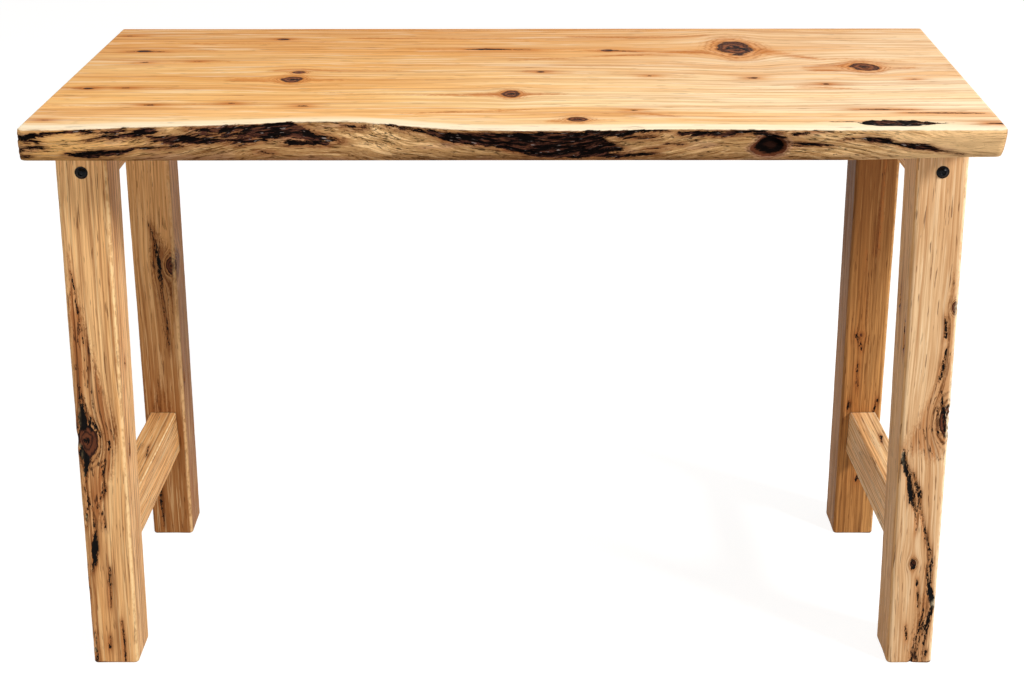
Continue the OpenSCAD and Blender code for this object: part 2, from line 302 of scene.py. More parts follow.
def run_effect():
    """One straight, tapered run of a mark: keeps how far off the nearest is, below 0 being inside it."""
    before = sockets("Vector", "Place") | sockets("Float", "Nearest")
    own = sockets("Vector", "From", "To") | sockets("Float", "From Width", "To Width")
    sheet, given, end = effect("Run", own | before, before)
    start = sheet.vector("SUBTRACT", given["Place"], given["From"])
    run = sheet.vector("SUBTRACT", given["To"], given["From"])
    along = sheet.maths(
        "DIVIDE",
        sheet.vector("DOT_PRODUCT", start, run),
        sheet.vector("DOT_PRODUCT", run, run),
        clamp=True,
    )
    off = sheet.vector("SUBTRACT", start, sheet.vector("SCALE", run, scale=along))
    width = sheet.between(along, 0.0, 1.0, given["From Width"], given["To Width"], smooth=False)
    outside = sheet.maths("SUBTRACT", sheet.vector("LENGTH", off), width)
    nearest = sheet.maths("MINIMUM", given["Nearest"], outside)
    return end(Place=after(sheet, given["Place"], nearest), Nearest=nearest)


def marks_effect():
    """Knots, cracks and stains as masks, from how far off the nearest of each is."""
    sheet, given, end = effect(
        "Marks",
        sockets("Vector", "Place", "Bent Place", "Strands")
        | sockets("Float", "To Knot", "To Crack", "To Stain", "Halo Reach", "Ring Count", "Spread")
        | sockets("Float", "Stain Share", "Fleck Share"),
        sockets("Float", "Core", "Heart", "Pit", "Swirl", "Crack", "Stain", "Fleck"),
    )
    place = given["Place"]
    bent = given["Bent Place"]
    ragged = sheet.noise(place, (150.0, 400.0, 400.0), detail=4.0, rough=0.7)
    ragged = sheet.maths("SUBTRACT", ragged, 0.5)
    uneven = sheet.maths("SUBTRACT", sheet.noise(place, (34.0, 70.0, 70.0), detail=2.0), 0.5)
    to_knot = sheet.maths("MULTIPLY_ADD", ragged, 0.34, given["To Knot"])
    to_knot = sheet.maths("MULTIPLY_ADD", uneven, 0.7, to_knot)
    rim = sheet.between(to_knot, 0.70, 0.86)
    to_halo = sheet.maths("MULTIPLY_ADD", ragged, 1.6, to_knot)
    halo = sheet.between(to_halo, 0.9, given["Halo Reach"], 1.0, 0.0)
    turns = sheet.maths("SINE", sheet.maths("MULTIPLY", to_knot, given["Ring Count"]))
    turns = sheet.maths("MULTIPLY_ADD", turns, 0.5, 0.5)
    rings = sheet.maths("MULTIPLY", turns, turns)
    to_pit = sheet.maths("MULTIPLY_ADD", ragged, 0.7, given["To Knot"])
    to_crack = sheet.maths("MULTIPLY_ADD", ragged, 0.0085, given["To Crack"])
    share = sheet.maths("DIVIDE", sheet.maths("MAXIMUM", given["To Crack"], 0.0), given["Spread"])
    seeped = sheet.maths("DIVIDE", given["Stain Share"], sheet.maths("MULTIPLY_ADD", share, share, 1.0))
    to_stain = sheet.maths("MULTIPLY_ADD", ragged, 0.02, given["To Stain"])
    shade = sheet.between(to_stain, -0.007, 0.003, 1.0, 0.0)
    spots = sheet.noise(bent, (50.0, 240.0, 240.0), detail=3.0, rough=0.7)
    strands = sheet.between(sheet.noise(bent, given["Strands"], detail=2.0), 0.40, 0.58, 0.5, 1.0)
    stain = sheet.maths("MAXIMUM", seeped, sheet.maths("MULTIPLY", shade, strands))
    return end(
        Core=sheet.between(to_knot, 0.90, 1.0, 1.0, 0.0),
        Heart=sheet.maths("MAXIMUM", rings, rim),
        Pit=sheet.between(to_pit, 0.13, 0.24, 1.0, 0.0),
        Swirl=sheet.maths("MULTIPLY", rings, halo),
        Crack=sheet.between(to_crack, -0.0003, 0.0003, 1.0, 0.0),
        Stain=sheet.maths("MAXIMUM", stain, sheet.maths("MULTIPLY", halo, 0.7)),
        Fleck=sheet.maths("MULTIPLY", shade, sheet.between(spots, 0.58, 0.64, 0.0, given["Fleck Share"])),
    )


def grain_tone_effect():
    """The colour of the wood: bands, sapwood and painted sheen, stains, dark grain, swirls round knots,
    glints and pores.
    """
    sheet, given, end = effect(
        "Grain Tone",
        sockets("Color", "Pale", "Mid", "Dark", "Deep", "Light", "Stained", "Swirled")
        | sockets("Float", *GRAIN_MASKS, "Stain", "Swirl", "Rearward", "Sap", "Calm", "Deepening")
        | sockets("Float", "Late Wood Share", "Streaks Share", "Fibre Share", "Pores Share", "Glints Share")
        | sockets("Float", "Lines Share"),
        sockets("Color", "Tone"),
    )
    stain = given["Stain"]
    tone = sheet.mix(given["Bands"], given["Pale"], given["Mid"])
    tone = sheet.mix(given["Rearward"], tone, BACK_AMBER)
    banded = sheet.maths("MULTIPLY_ADD", given["Bands"], -0.55, 1.0)
    # Sapwood and the painted sheen pale the wood toward cream.
    tone = sheet.mix(sheet.maths("MULTIPLY", given["Sap"], banded), tone, CREAM)
    tone = sheet.mix(given["Deepening"], tone, given["Dark"])
    tone = sheet.mix(sheet.maths("MULTIPLY", stain, 0.85), tone, given["Stained"])
    for layer in ("Late Wood", "Streaks", "Fibre"):
        share = sheet.maths("MULTIPLY", given["Calm"], given[layer + " Share"])
        tone = sheet.mix(sheet.maths("MULTIPLY", given[layer], share), tone, given["Dark"])
    lines = sheet.maths("MULTIPLY", stain, sheet.maths("MULTIPLY", given["Streaks"], given["Lines Share"]))
    tone = sheet.mix(sheet.maths("MAXIMUM", lines, given["Swirl"]), tone, given["Swirled"])
    clean = sheet.maths("MULTIPLY_ADD", stain, -0.8, 1.0, clamp=True)
    glints = sheet.maths("MULTIPLY", given["Glints"], sheet.maths("MULTIPLY", clean, given["Glints Share"]))
    tone = sheet.mix(glints, tone, given["Light"])
    tone = sheet.mix(sheet.maths("MULTIPLY", given["Pores"], given["Pores Share"]), tone, given["Deep"])
    return end(Tone=tone)


def mark_tone_effect():
    """Lays the hearts of knots, dark flecks and open cracks over a colour."""
    sheet, given, end = effect(
        "Mark Tone",
        sockets("Color", "Tone", "Core Tone") | sockets("Float", "Core", "Heart", "Pit", "Fleck", "Crack"),
        sockets("Color", "Tone"),
    )
    heart = sheet.mix(given["Heart"], given["Core Tone"], KNOT_DARK)
    heart = sheet.mix(given["Pit"], heart, CRACK_BLACK)
    tone = sheet.mix(given["Core"], given["Tone"], heart)
    tone = sheet.mix(given["Fleck"], tone, KNOT_DARK)
    return end(Tone=sheet.mix(given["Crack"], tone, CRACK_BLACK))


def arris_highlight_effect():
    """A painted highlight, in patches, along the arrises that face right, where the key light falls."""
    sheet, given, end = effect(
        "Arris Highlight",
        sockets("Color", "Tone", "Light")
        | sockets("Vector", "Place")
        | sockets("Float", "Arris", "Facing", "Highlight Share"),
        sockets("Color", "Tone") | sockets("Float", "Patches"),
    )
    patches = sheet.noise(given["Place"], (120.0, 200.0, 200.0), detail=3.0)
    patches = sheet.between(patches, 0.36, 0.56, 0.35, 1.0)
    highlight = sheet.maths("MULTIPLY", given["Arris"], sheet.maths("MULTIPLY", patches, given["Highlight Share"]))
    # Only the arrises that face right, toward the key light, get the painted highlight.
    highlight = sheet.maths("MULTIPLY", highlight, sheet.between(given["Facing"], 0.0, 0.4))
    return end(Tone=sheet.mix(highlight, given["Tone"], given["Light"]), Patches=patches)


def end_grain_effect():
    """Darker wood where a piece is cut across."""
    sheet, given, end = effect(
        "End Grain",
        sockets("Color", "Tone", "Dark") | sockets("Vector", "Normal", "Lengthways"),
        sockets("Color", "Tone"),
    )
    squarely = sheet.vector("DOT_PRODUCT", given["Normal"], given["Lengthways"])
    across = sheet.between(sheet.maths("ABSOLUTE", squarely), 0.6, 0.95)
    return end(Tone=sheet.mix(sheet.maths("MULTIPLY", across, 0.45), given["Tone"], given["Dark"]))


def joint_shade_effect():
    """Painted shade: a dark line where a bar goes into a leg, at a reach to both sides of its middle."""
    sheet, given, end = effect(
        "Joint Shade",
        sockets("Color", "Tone", "Deep") | sockets("Float", "Along", "Middle", "Reach"),
        sockets("Color", "Tone"),
    )
    off = sheet.maths("ABSOLUTE", sheet.maths("SUBTRACT", given["Along"], given["Middle"]))
    joint = sheet.between(sheet.maths("SUBTRACT", off, given["Reach"]), -0.003, -0.001, 0.0, 0.75)
    return end(Tone=sheet.mix(joint, given["Tone"], given["Deep"]))


def foot_shade_effect():
    """A painted contact shadow: a thin dark line round the foot of a leg."""
    sheet, given, end = effect(
        "Foot Shade",
        sockets("Color", "Tone", "Deep") | sockets("Float", "Along", "Patches"),
        sockets("Color", "Tone"),
    )
    height = sheet.maths("MULTIPLY_ADD", given["Patches"], 0.0012, given["Along"])
    clear = sheet.between(height, 0.001, 0.0042)
    return end(Tone=sheet.mix(sheet.between(clear, 0.0, 1.0, 0.8, 0.0), given["Tone"], given["Deep"]))


def fine_relief_effect():
    """The height of the fine fibres that sanding leaves."""
    sheet, given, end = effect("Fine Relief", sockets("Vector", "Place"), sockets("Float", "Height"))
    return end(Height=sheet.noise(given["Place"], (16.0, 420.0, 420.0), detail=3.0, rough=0.6))


def mottle_effect():
    """Uneven metal from one noise: a colour and a roughness that follow it, and the noise as a height."""
    sheet, given, end = effect(
        "Mottle",
        sockets("Vector", "Place", "Stretch")
        | sockets("Color", "Dark", "Light")
        | sockets("Float", "Smooth", "Rough"),
        sockets("Color", "Tone") | sockets("Float", "Roughness", "Height"),
    )
    cloud = sheet.noise(given["Place"], given["Stretch"], detail=3.0)
    return end(
        Tone=sheet.mix(cloud, given["Dark"], given["Light"]),
        Roughness=sheet.between(cloud, 0.3, 0.7, given["Smooth"], given["Rough"]),
        Height=cloud,
    )


GROWTH = growth_effect()
KNOT = knot_effect()
RUN = run_effect()
MARKS = marks_effect()
GRAIN_TONE = grain_tone_effect()
MARK_TONE = mark_tone_effect()
ARRIS_HIGHLIGHT = arris_highlight_effect()
END_GRAIN = end_grain_effect()
JOINT_SHADE = joint_shade_effect()
FOOT_SHADE = foot_shade_effect()
FINE_RELIEF = fine_relief_effect()
MOTTLE = mottle_effect()


# Timber materials

def new_material(name):
    made = bpy.data.materials.new(name)
    made.use_nodes = True
    made.node_tree.nodes.clear()
    return made, Sheet(made.node_tree)


def surface(sheet, base, roughness, normal=None, **plain):
    """The shader and its output. Plain values go straight onto the shader's own sockets."""
    values = {"Base Color": base, "Roughness": roughness}
    if normal is not None:
        values["Normal"] = normal
    values.update({name.replace("_", " "): value for name, value in plain.items()})
    shader = sheet.node("ShaderNodeBsdfPrincipled", values)
    sheet.node("ShaderNodeOutputMaterial", {"Surface": shader.outputs[0]})


FAR_OFF = 9.0
ALONG_GRAIN = 0.45


def nearest_knot(sheet, place, knots):
    """How far off the nearest knot is, and how knots bend the grain. Knots are (centre, reach, pull)."""
    so_far = {"Place": place, "Bend": (0, 0, 0), "Nearest": FAR_OFF}
    for centre, reach, pull in knots:
        made = sheet.group(KNOT, {"Centre": centre, "Reach": reach, "Pull": pull, **so_far})
        so_far = {name: made[name] for name in so_far}
    return so_far["Nearest"], so_far["Bend"]


def nearest_run(sheet, place, runs):
    """Distance to the nearest run of a mark, in metres, with distances along the grain counted short."""
    short = (ALONG_GRAIN, 1.0, 1.0)
    so_far = {"Place": sheet.vector("MULTIPLY", place, short), "Nearest": FAR_OFF}
    for start, stop, start_width, stop_width in runs:
        made = sheet.group(RUN, {
            "From": Vector(start) * Vector(short), "To": Vector(stop) * Vector(short),
            "From Width": start_width, "To Width": stop_width, **so_far,
        })
        so_far = {name: made[name] for name in so_far}
    return so_far["Nearest"]


def figured_wood(sheet, place, look, marks):
    """Colour of a piece of wood with its knots, cracks and stains, and its fibres as a mask."""
    to_knot, bend = nearest_knot(sheet, place, marks["knots"])
    bent = sheet.vector("ADD", place, bend)
    masks = sheet.group(MARKS, {
        **look, "Place": place, "Bent Place": bent, "To Knot": to_knot,
        "To Crack": nearest_run(sheet, place, marks["cracks"]),
        "To Stain": nearest_run(sheet, bent, marks["stains"]),
    })
    grain = sheet.group(GROWTH, {**look, "Place": bent})
    tone = sheet.group(GRAIN_TONE, {**look, **dict(grain.items()), **dict(masks.items())})
    tone = sheet.group(MARK_TONE, {**look, **dict(masks.items()), "Tone": tone["Tone"]})
    return tone["Tone"], grain["Fibre"]


def own_place(sheet, frame_of_piece):
    """The place in a piece's own frame, whose X runs along its grain."""
    back = frame_of_piece.inverted()
    spot = sheet.node("ShaderNodeTexCoord").outputs["Object"]
    made = sheet.node("ShaderNodeMapping", {
        "Vector": spot, "Location": back.translation, "Rotation": back.to_euler("XYZ"),
    })
    return made.outputs[0]


NO_MARKS = {"knots": (), "cracks": (), "stains": ()}


def end_grain(sheet, tone, dark, frame_of_piece):
    normal = sheet.node("ShaderNodeTexCoord").outputs["Normal"]
    lengthways = frame_of_piece.col[0].xyz
    made = sheet.group(END_GRAIN, {"Tone": tone, "Dark": dark, "Normal": normal, "Lengthways": lengthways})
    return made["Tone"]


def timber(name, look, frame_of_piece, marks=NO_MARKS):
    """Sawn, sanded and lacquered wood whose grain runs along X of the piece's own frame.

    The names in a look that have a capital are sockets of the effects. "deepening" is where the piece turns
    darker along its length, and on the rear right leg it is painted shadow. "left side" tints the side that
    faces left with painted shade, and "foot" asks for a painted contact shadow round the foot.
    """
    made, sheet = new_material(name)
    place = own_place(sheet, frame_of_piece)
    along = sheet.separate(place)[0]
    facing = sheet.separate(sheet.node("ShaderNodeTexCoord").outputs["Normal"])[0]
    if "deepening" in look:
        look = {**look, "Deepening": sheet.between(along, *look["deepening"])}
    tone, fibre = figured_wood(sheet, place, look, marks)
    # Painted highlight along the arrises that face right.
    arris_light = sheet.group(ARRIS_HIGHLIGHT, {
        **look, "Tone": tone, "Place": place, "Arris": sheet.attribute("arris"), "Facing": facing,
    })
    tone = end_grain(sheet, arris_light["Tone"], look["Dark"], frame_of_piece)
    # Painted shade: the side that faces left, away from the key light, is darkened and warmed.
    if "left side" in look:
        leftward = sheet.between(facing, -0.9, -0.4, 1.0, 0.0)
        tone = sheet.mix(leftward, tone, look["left side"], blend="MULTIPLY")
    # Painted shade in the gap where a bar goes into a leg.
    if "Reach" in look:
        tone = sheet.group(JOINT_SHADE, {**look, "Tone": tone, "Along": along})["Tone"]
    # Painted contact shadow round the foot of a leg.
    if look.get("foot"):
        foot_shade = {**look, "Tone": tone, "Along": along, "Patches": arris_light["Patches"]}
        tone = sheet.group(FOOT_SHADE, foot_shade)["Tone"]
    height = sheet.group(FINE_RELIEF, {"Place": place})["Height"]
    bump = sheet.node("ShaderNodeBump", {"Height": height, "Strength": 0.35, "Distance": 0.001})
    roughness = sheet.between(fibre, 0.0, 1.0, 0.44, 0.58)
    surface(sheet, tone, roughness, bump.outputs[0], Specular_IOR_Level=0.05)
    return made


def leg_look(pith, seed, light=LEG_LIGHT, pale=LEG_PALE, mid=LEG_TAN, dark=LEG_BROWN):
    return {
        "Pith": pith, "Ring Gap": 0.0044, "Wander": 0.018, "Seed": seed, "Fineness": 1.0,
        "Light": light, "Pale": pale, "Mid": mid, "Dark": dark, "Deep": LEG_DEEP, "Stained": KNOT_RED,
        "Swirled": LEG_DEEP, "Core Tone": KNOT_DEEP, "Late Wood Share": 0.78, "Streaks Share": 0.52,
        "Fibre Share": 0.34, "Glints Share": 0.36, "Pores Share": 0.65, "Lines Share": 0.8, "Calm": 1.0,
        "Stain Share": 0.8, "Fleck Share": 0.85, "Spread": 0.0028, "Strands": (9.0, 150.0, 150.0),
        # The last share here sets how strong the painted highlight on the arrises is.
        "Halo Reach": 2.1, "Ring Count": 17.0, "Highlight Share": 0.8,
    }


# The slab

# Runs of bark on the natural edge: along, down and half width at each end of a run, in millimetres
BARK_RUNS = [
    (0, 10, 3.0, 17, 6.5, 2.8), (17, 6.5, 2.8, 40, 3.4, 1.5), (40, 3.4, 1.3, 78, 2.6, 1.0),
    (70, 3.2, 1.7, 115, 3.4, 1.8), (9, 12, 2.3, 21, 12.5, 2.6), (0, 22.5, 2.0, 10, 20.5, 2.0),
    (14, 19.8, 2.3, 27, 19.8, 2.0), (0, 29, 1.2, 14, 27, 0.8), (76, 12.7, 1.0, 95, 8.8, 1.8),
    (95, 8.8, 1.8, 122, 8.2, 2.3), (115, 8, 2.5, 142, 5.2, 4.4), (57, 26.8, 1.6, 80, 26.8, 4.0),
    (80, 26.8, 4.0, 110, 24.8, 3.2), (110, 24.8, 3.0, 130, 20.8, 1.4), (130, 20.8, 1.3, 180, 19.8, 1.4),
    (148, 12, 1.6, 165, 13, 4.2), (165, 13, 4.2, 205, 13.6, 4.0), (205, 13.6, 4.0, 222, 14, 1.6),
    (186, 3.6, 1.0, 216, 4.4, 2.6), (216, 4.4, 2.6, 245, 4.8, 3.2), (245, 4.8, 3.2, 291, 6.4, 6.4),
    (188, 8, 1.0, 229, 8.6, 1.8), (229, 9, 1.8, 280, 10.5, 3.0), (221, 15, 1.6, 245, 14.8, 3.4),
    (245, 14.8, 3.4, 270, 14.6, 1.6), (290, 3.5, 4.4, 303, 8.5, 5.2), (303, 8.5, 5.2, 322, 13, 3.6),
    (322, 13, 3.6, 356, 16.3, 0.9), (297, 17, 2.4, 336, 18.5, 2.2), (262, 25.6, 0.8, 278, 25.7, 0.8),
    (355, 4.2, 0.8, 376, 5.2, 1.2), (404, 1.6, 0.8, 440, 4.0, 2.0), (440, 4.0, 2.0, 459, 6.2, 3.0),
    (459, 6.2, 3.0, 480, 9, 5.0), (480, 9, 5.0, 527, 11, 8.0), (527, 11, 8.0, 549, 13.5, 10.5),
    (549, 13.5, 10.5, 580, 16, 14.5), (580, 16, 14.5, 612, 17, 14.5), (612, 17, 13.0, 634, 18.5, 8.0),
    (634, 18.5, 8.0, 652, 21, 3.6), (628, 25.5, 5.0, 660, 28.6, 2.2), (660, 28.6, 2.2, 698, 24.8, 1.0),
    (626, 3.9, 3.6, 658, 3.8, 3.0), (658, 3.8, 3.0, 708, 1.8, 0.9), (664, 9, 2.0, 692, 8.4, 1.8),
    (688, 19.8, 0.9, 707, 19.9, 0.9), (709, 16.5, 1.2, 726, 15.8, 1.2), (724, 4.4, 1.4, 770, 5.2, 3.2),
    (770, 5, 3.0, 793, 3.0, 1.9), (793, 3.0, 1.9, 817, 2.4, 1.7), (800, 2.2, 2.0, 817, 4.2, 2.4),
    (817, 4.2, 2.4, 834, 9.5, 3.0), (834, 14.5, 5.0, 853, 15, 3.2), (853, 15, 3.2, 888, 15.7, 0.9),
    (826, 3.4, 0.9, 832, 3.4, 0.9), (847, 4, 1.3, 858, 4, 1.3), (862, 0.9, 0.8, 870, 0.9, 0.8),
    (901, 10.6, 0.9, 908, 10.6, 0.9), (911, 9.1, 0.7, 926, 9.4, 1.4), (926, 9.6, 2.8, 944, 12.5, 3.4),
    (944, 12.5, 3.2, 954, 15, 2.0), (954, 15, 2.0, 968, 17.2, 2.2), (968, 17.2, 3.6, 990, 20, 3.8),
    (990, 20, 3.4, 1002, 24, 1.9), (1002, 24, 1.9, 1033, 29.9, 0.7),
]
# Dark knot hole in the natural edge: along, down, half length, half height
KNOT_HOLE = (821, 17.5, 20, 11)
KNOT_HOLE_DEPTH = 5.0
# How light the bare wood of the natural edge is, from 0 to 1, along it
EDGE_TONES = [
    (0, 0.95), (60, 0.95), (105, 0.80), (150, 0.50), (240, 0.28), (330, 0.34), (400, 0.62), (455, 0.40),
    (560, 0.22), (650, 0.40), (720, 0.42), (780, 0.34), (850, 0.58), (930, 0.78), (1000, 1.0), (1080, 1.0),
]
# Bark grown into the top near the right front: along, y and half width at each end
TOP_BARK_RUNS = [
    (891, -203.5, 0.7, 932, -205, 1.4), (929, -208, 3.0, 948, -208.5, 11.0),
    (948, -208.5, 11.0, 968, -209, 12.5), (968, -209, 12.5, 992, -209.5, 6.0),
    (992, -209.5, 6.0, 1024, -210, 0.7), (926, -216, 1.4, 944, -215, 3.0),
]
# Depth in bark far from any, and how far beside the ends of a run a place is still near it
NO_BARK = -8.0
NEAR_RUN = 50
# How much a distance along the slab counts in the shape of a run, so that it ends in a long tip
RUN_OUT = 0.4
# Edge depth is below 0 behind the natural edge, and the two sawn ends are given one well behind it
END_DEPTH = -60

BARK_CUT = 2.4
BARK_FURROW = 1.6
BARK_WANDER = 1.6
FACE_SWELL = 0.9
FACE_FURROW = 0.35
LIP_HEIGHT = 1.3
LIP_END = 2.2

STATION_GAP = 2.2
FACE_ROWS = 30
TOP_ROWS = 46
UNDER_ROWS = 18
ARC_ROWS = 4
END_EASE = 2.5
CAP_INSET = 1.5
BACK_START = SLAB_DEPTH / 2 - BACK_ROUND


def through(values, place):
    """A smooth curve through a list of values, one at every whole number."""
    whole = math.floor(place)
    p, q, r, s = (values[max(0, min(len(values) - 1, whole + k))] for k in (-1, 0, 1, 2))
    t = place - whole
    bowed = 2 * q + (r - p) * t + (2 * p - 5 * q + 4 * r - s) * t * t + (3 * q - p - 3 * r + s) * t ** 3
    return max(0, 0.5 * bowed)


def ease(distance, radius):
    """How far a rounded arris is cut back at a distance from it."""
    if distance >= radius:
        return 0
    return radius - math.sqrt(max(0, radius ** 2 - (radius - distance) ** 2))


def step(value, low, high):
    """0 at low and past it, 1 at high and past it, smooth between. Low may be the greater."""
    share = max(0, min(1, (value - low) / (high - low)))
    return share * share * (3 - 2 * share)


def edge_setback(along, share):
    """Set-back of the natural edge's face, as the part has it, from its top, 0, to its underside, 1."""
    slope = through(TOP_SET, along / EDGE_STEP) * (1 - share) ** 1.4
    slope += through(UNDER_SET, along / EDGE_STEP) * share ** 1.6
    eased = TOP_EASE * (1 - share) ** 9 + UNDER_EASE * share ** 12
    return slope + eased + ease(min(along, SLAB_LENGTH - along), CORNER_ROUND)


def run_depth(runs, x, y):
    """How far inside the nearest run a place is, in millimetres, below 0 outside."""
    deepest = NO_BARK
    for x0, y0, r0, x1, y1, r1 in runs:
        if not min(x0, x1) - NEAR_RUN <= x <= max(x0, x1) + NEAR_RUN:
            continue
        run_x, run_y = RUN_OUT * (x1 - x0), y1 - y0
        off_x = RUN_OUT * (x - x0)
        share = max(0, min(1, (off_x * run_x + (y - y0) * run_y) / (run_x ** 2 + run_y ** 2)))
        off = math.hypot(off_x - share * run_x, y - y0 - share * run_y)
        deepest = max(deepest, r0 + (r1 - r0) * share - off)
    return deepest


def hole_distance(along, down):
    """Distance from the middle of the knot hole, 1 at its rim."""
    x, y, half_length, half_height = KNOT_HOLE
    off_x = (along - x) / half_length + 0.22 * noise.noise(Vector((along * 0.06, down * 0.1, 6.6)))
    off_y = (down - y + 0.06 * (along - x)) / half_height
    return (abs(off_x) ** 1.5 + abs(off_y) ** 1.5) ** (1 / 1.5)


def edge_relief(along, down):
    """Cut of the natural edge's face, and how deep in bark the place is, both in millimetres."""
    wander = noise.noise(Vector((along * 0.03, down * 0.12, 3.1)))
    bark = run_depth(BARK_RUNS, along, down + BARK_WANDER * wander)
    swell = 1 + noise.noise(Vector((along * 0.018, down * 0.07, 8.4)))
    furrow = abs(noise.noise(Vector((along * 0.05, down * 0.42 + 0.02 * along, 1.7))))
    chip = noise.noise(Vector((along * 0.14, down * 0.5, 5.2)))
    in_bark = step(bark, -0.8, 1.8)
    cut = FACE_SWELL * swell + FACE_FURROW * (1 - furrow) * (1 - in_bark)
    cut += in_bark * (BARK_CUT * (0.75 + 0.9 * chip) + BARK_FURROW * furrow)
    far = hole_distance(along, down)
    if far < LIP_END:
        cut += KNOT_HOLE_DEPTH * step(far, 1.05, 0.7)
        cut -= LIP_HEIGHT * step(far, LIP_END, 1.25) * step(far, 0.95, 1.15)
        bark = min(bark, 3 * (far - 1.5)) if down > 9 else bark
    return max(0, cut) * step(down, -1.0, 2.5) * step(SLAB_THICKNESS - down, -1.0, 2.0), bark


def slab_point(along, y, z):
    """A place on the slab, whose right end runs out of square, in the row frame in metres."""
    skewed = along * (1 + END_SKEW * (y + SLAB_DEPTH / 2) / SLAB_DEPTH / SLAB_LENGTH)
    return Vector((slab_low.x + skewed * MM, y * MM, z * MM))


def slab_stations():
    turn = [CORNER_ROUND * (1 - math.cos(math.radians(angle))) for angle in range(0, 90, 12)]
    straight = SLAB_LENGTH - 2 * CORNER_ROUND
    count = round(straight / STATION_GAP)
    even = [CORNER_ROUND + straight * i / count for i in range(count + 1)]
    return turn + even + [SLAB_LENGTH - s for s in reversed(turn)]


def edge_points(along):
    """The natural edge of a section, from its top down."""
    points = []
    for i in range(FACE_ROWS + 1):
        swing = math.cos(math.pi * i / FACE_ROWS)
        share = 0.5 - 0.5 * swing * (0.55 + 0.45 * abs(swing))
        down = share * SLAB_THICKNESS
        cut, bark = edge_relief(along, down)
        y = -SLAB_DEPTH / 2 + edge_setback(along, share) + cut
        points.append((along, y, UNDERSIDE + SLAB_THICKNESS - down, down, bark, hole_distance(along, down)))
    return points


def under_points(along, arris):
    """The underside of a section, from its front arris back."""
    points = []
    for i in range(1, UNDER_ROWS + 1):
        y = arris + (BACK_START - arris) * (i / UNDER_ROWS) ** 1.6
        points.append((along, y, UNDERSIDE, arris - y, NO_BARK, FAR_OFF))
    return points


def back_points(along):
    """The straight back edge of a section, from its lower rounded arris up over its upper one."""
    points = []
    lower = UNDERSIDE + BACK_ROUND
    upper = UNDERSIDE + SLAB_THICKNESS - BACK_ROUND
    for first, middle_z, turn in ((1, lower, -90), (0, upper, 0)):
        for i in range(first, ARC_ROWS + 1):
            angle = math.radians(turn + 90 * i / ARC_ROWS)
            y = BACK_START + BACK_ROUND * math.cos(angle)
            z = middle_z + BACK_ROUND * math.sin(angle)
            points.append((along, y, z, -SLAB_DEPTH, NO_BARK, FAR_OFF))
    return points


def top_points(along, arris):
    """The top of a section, from its back to its front arris, sunk where bark has grown in."""
    points = []
    for i in range(1, TOP_ROWS):
        y = arris + (BACK_START - arris) * (1 - i / TOP_ROWS) ** 1.9
        bark = run_depth(TOP_BARK_RUNS, along, y)
        rough = 0.6 + 0.6 * noise.noise(Vector((along * 0.16, y * 0.5, 2.2)))
        z = UNDERSIDE + SLAB_THICKNESS - step(bark, -0.6, 2.0) * (0.5 + 1.1 * rough)
        points.append((along, y, z, arris - y, bark, FAR_OFF))
    return points


def slab_ring(along):
    """One section of the slab, as points and their (edge depth, bark, hole) marks."""
    edge = edge_points(along)
    return edge + under_points(along, edge[-1][1]) + back_points(along) + top_points(along, edge[0][1])


def eased_end(ring, along):
    """Rounds the arrises of the slab's two ends."""
    cut = ease(min(along, SLAB_LENGTH - along), END_EASE)
    half = SLAB_THICKNESS / 2
    middle = UNDERSIDE + half
    shrink = (half - cut) / half
    return [
        (x, y - cut * step(y, 0, SLAB_DEPTH / 2), middle + (z - middle) * shrink, *marks)
        for x, y, z, *marks in ring
    ]


def cap_ring(ring):
    """The same section a little smaller, so that the marks of the long faces stop at the end's arris."""
    half = SLAB_THICKNESS / 2
    middle = UNDERSIDE + half
    flat = 1 - CAP_INSET / (SLAB_DEPTH / 2)
    thin = 1 - CAP_INSET / half
    return [
        (x, y * flat, middle + (z - middle) * thin, END_DEPTH, NO_BARK, FAR_OFF)
        for x, y, z, *_ in ring
    ]


def skin(name, rings, marks=(), smooth_angle=32):
    """A closed mesh over equal rings of points, flat at each end. Marks are named values, one per point."""
    mesh = bpy.data.meshes.new(name)
    count = len(rings[0])
    points = [p for ring in rings for p in ring]
    faces = []
    for i in range(len(rings) - 1):
        for j in range(count):
            k = (j + 1) % count
            faces.append((i * count + j, i * count + k, (i + 1) * count + k, (i + 1) * count + j))
    faces.append(tuple(reversed(range(count))))
    faces.append(tuple((len(rings) - 1) * count + j for j in range(count)))
    mesh.from_pydata(points, [], faces)
    for label, values in dict(marks).items():
        layer = mesh.attributes.new(label, "FLOAT", "POINT")
        layer.data.foreach_set("value", values)
    work = bmesh.new()
    work.from_mesh(mesh)
    bmesh.ops.recalc_face_normals(work, faces=work.faces)
    work.to_mesh(mesh)
    work.free()
    mesh.shade_smooth()
    mesh.set_sharp_from_angle(angle=math.radians(smooth_angle))
    piece = bpy.data.objects.new(name, mesh)
    bpy.context.scene.collection.objects.link(piece)
    return piece


def tone_along(along):
    for (x0, t0), (x1, t1) in zip(EDGE_TONES, EDGE_TONES[1:]):
        if along <= x1:
            return t0 + (t1 - t0) * step(along, x0, x1)
    return EDGE_TONES[-1][1]


def build_slab():
    stations = slab_stations()
    rings = [eased_end(slab_ring(along), along) for along in stations]
    rings = [cap_ring(rings[0])] + rings + [cap_ring(rings[-1])]
    flat = [row for ring in rings for row in ring]
    marks = {
        "edge_depth": [row[3] for row in flat],
        "bark": [row[4] for row in flat],
        "hole": [row[5] for row in flat],
        "tone": [tone_along(row[0]) for row in flat],
    }
    return skin("slab", [[slab_point(*row[:3]) for row in ring] for ring in rings], marks)


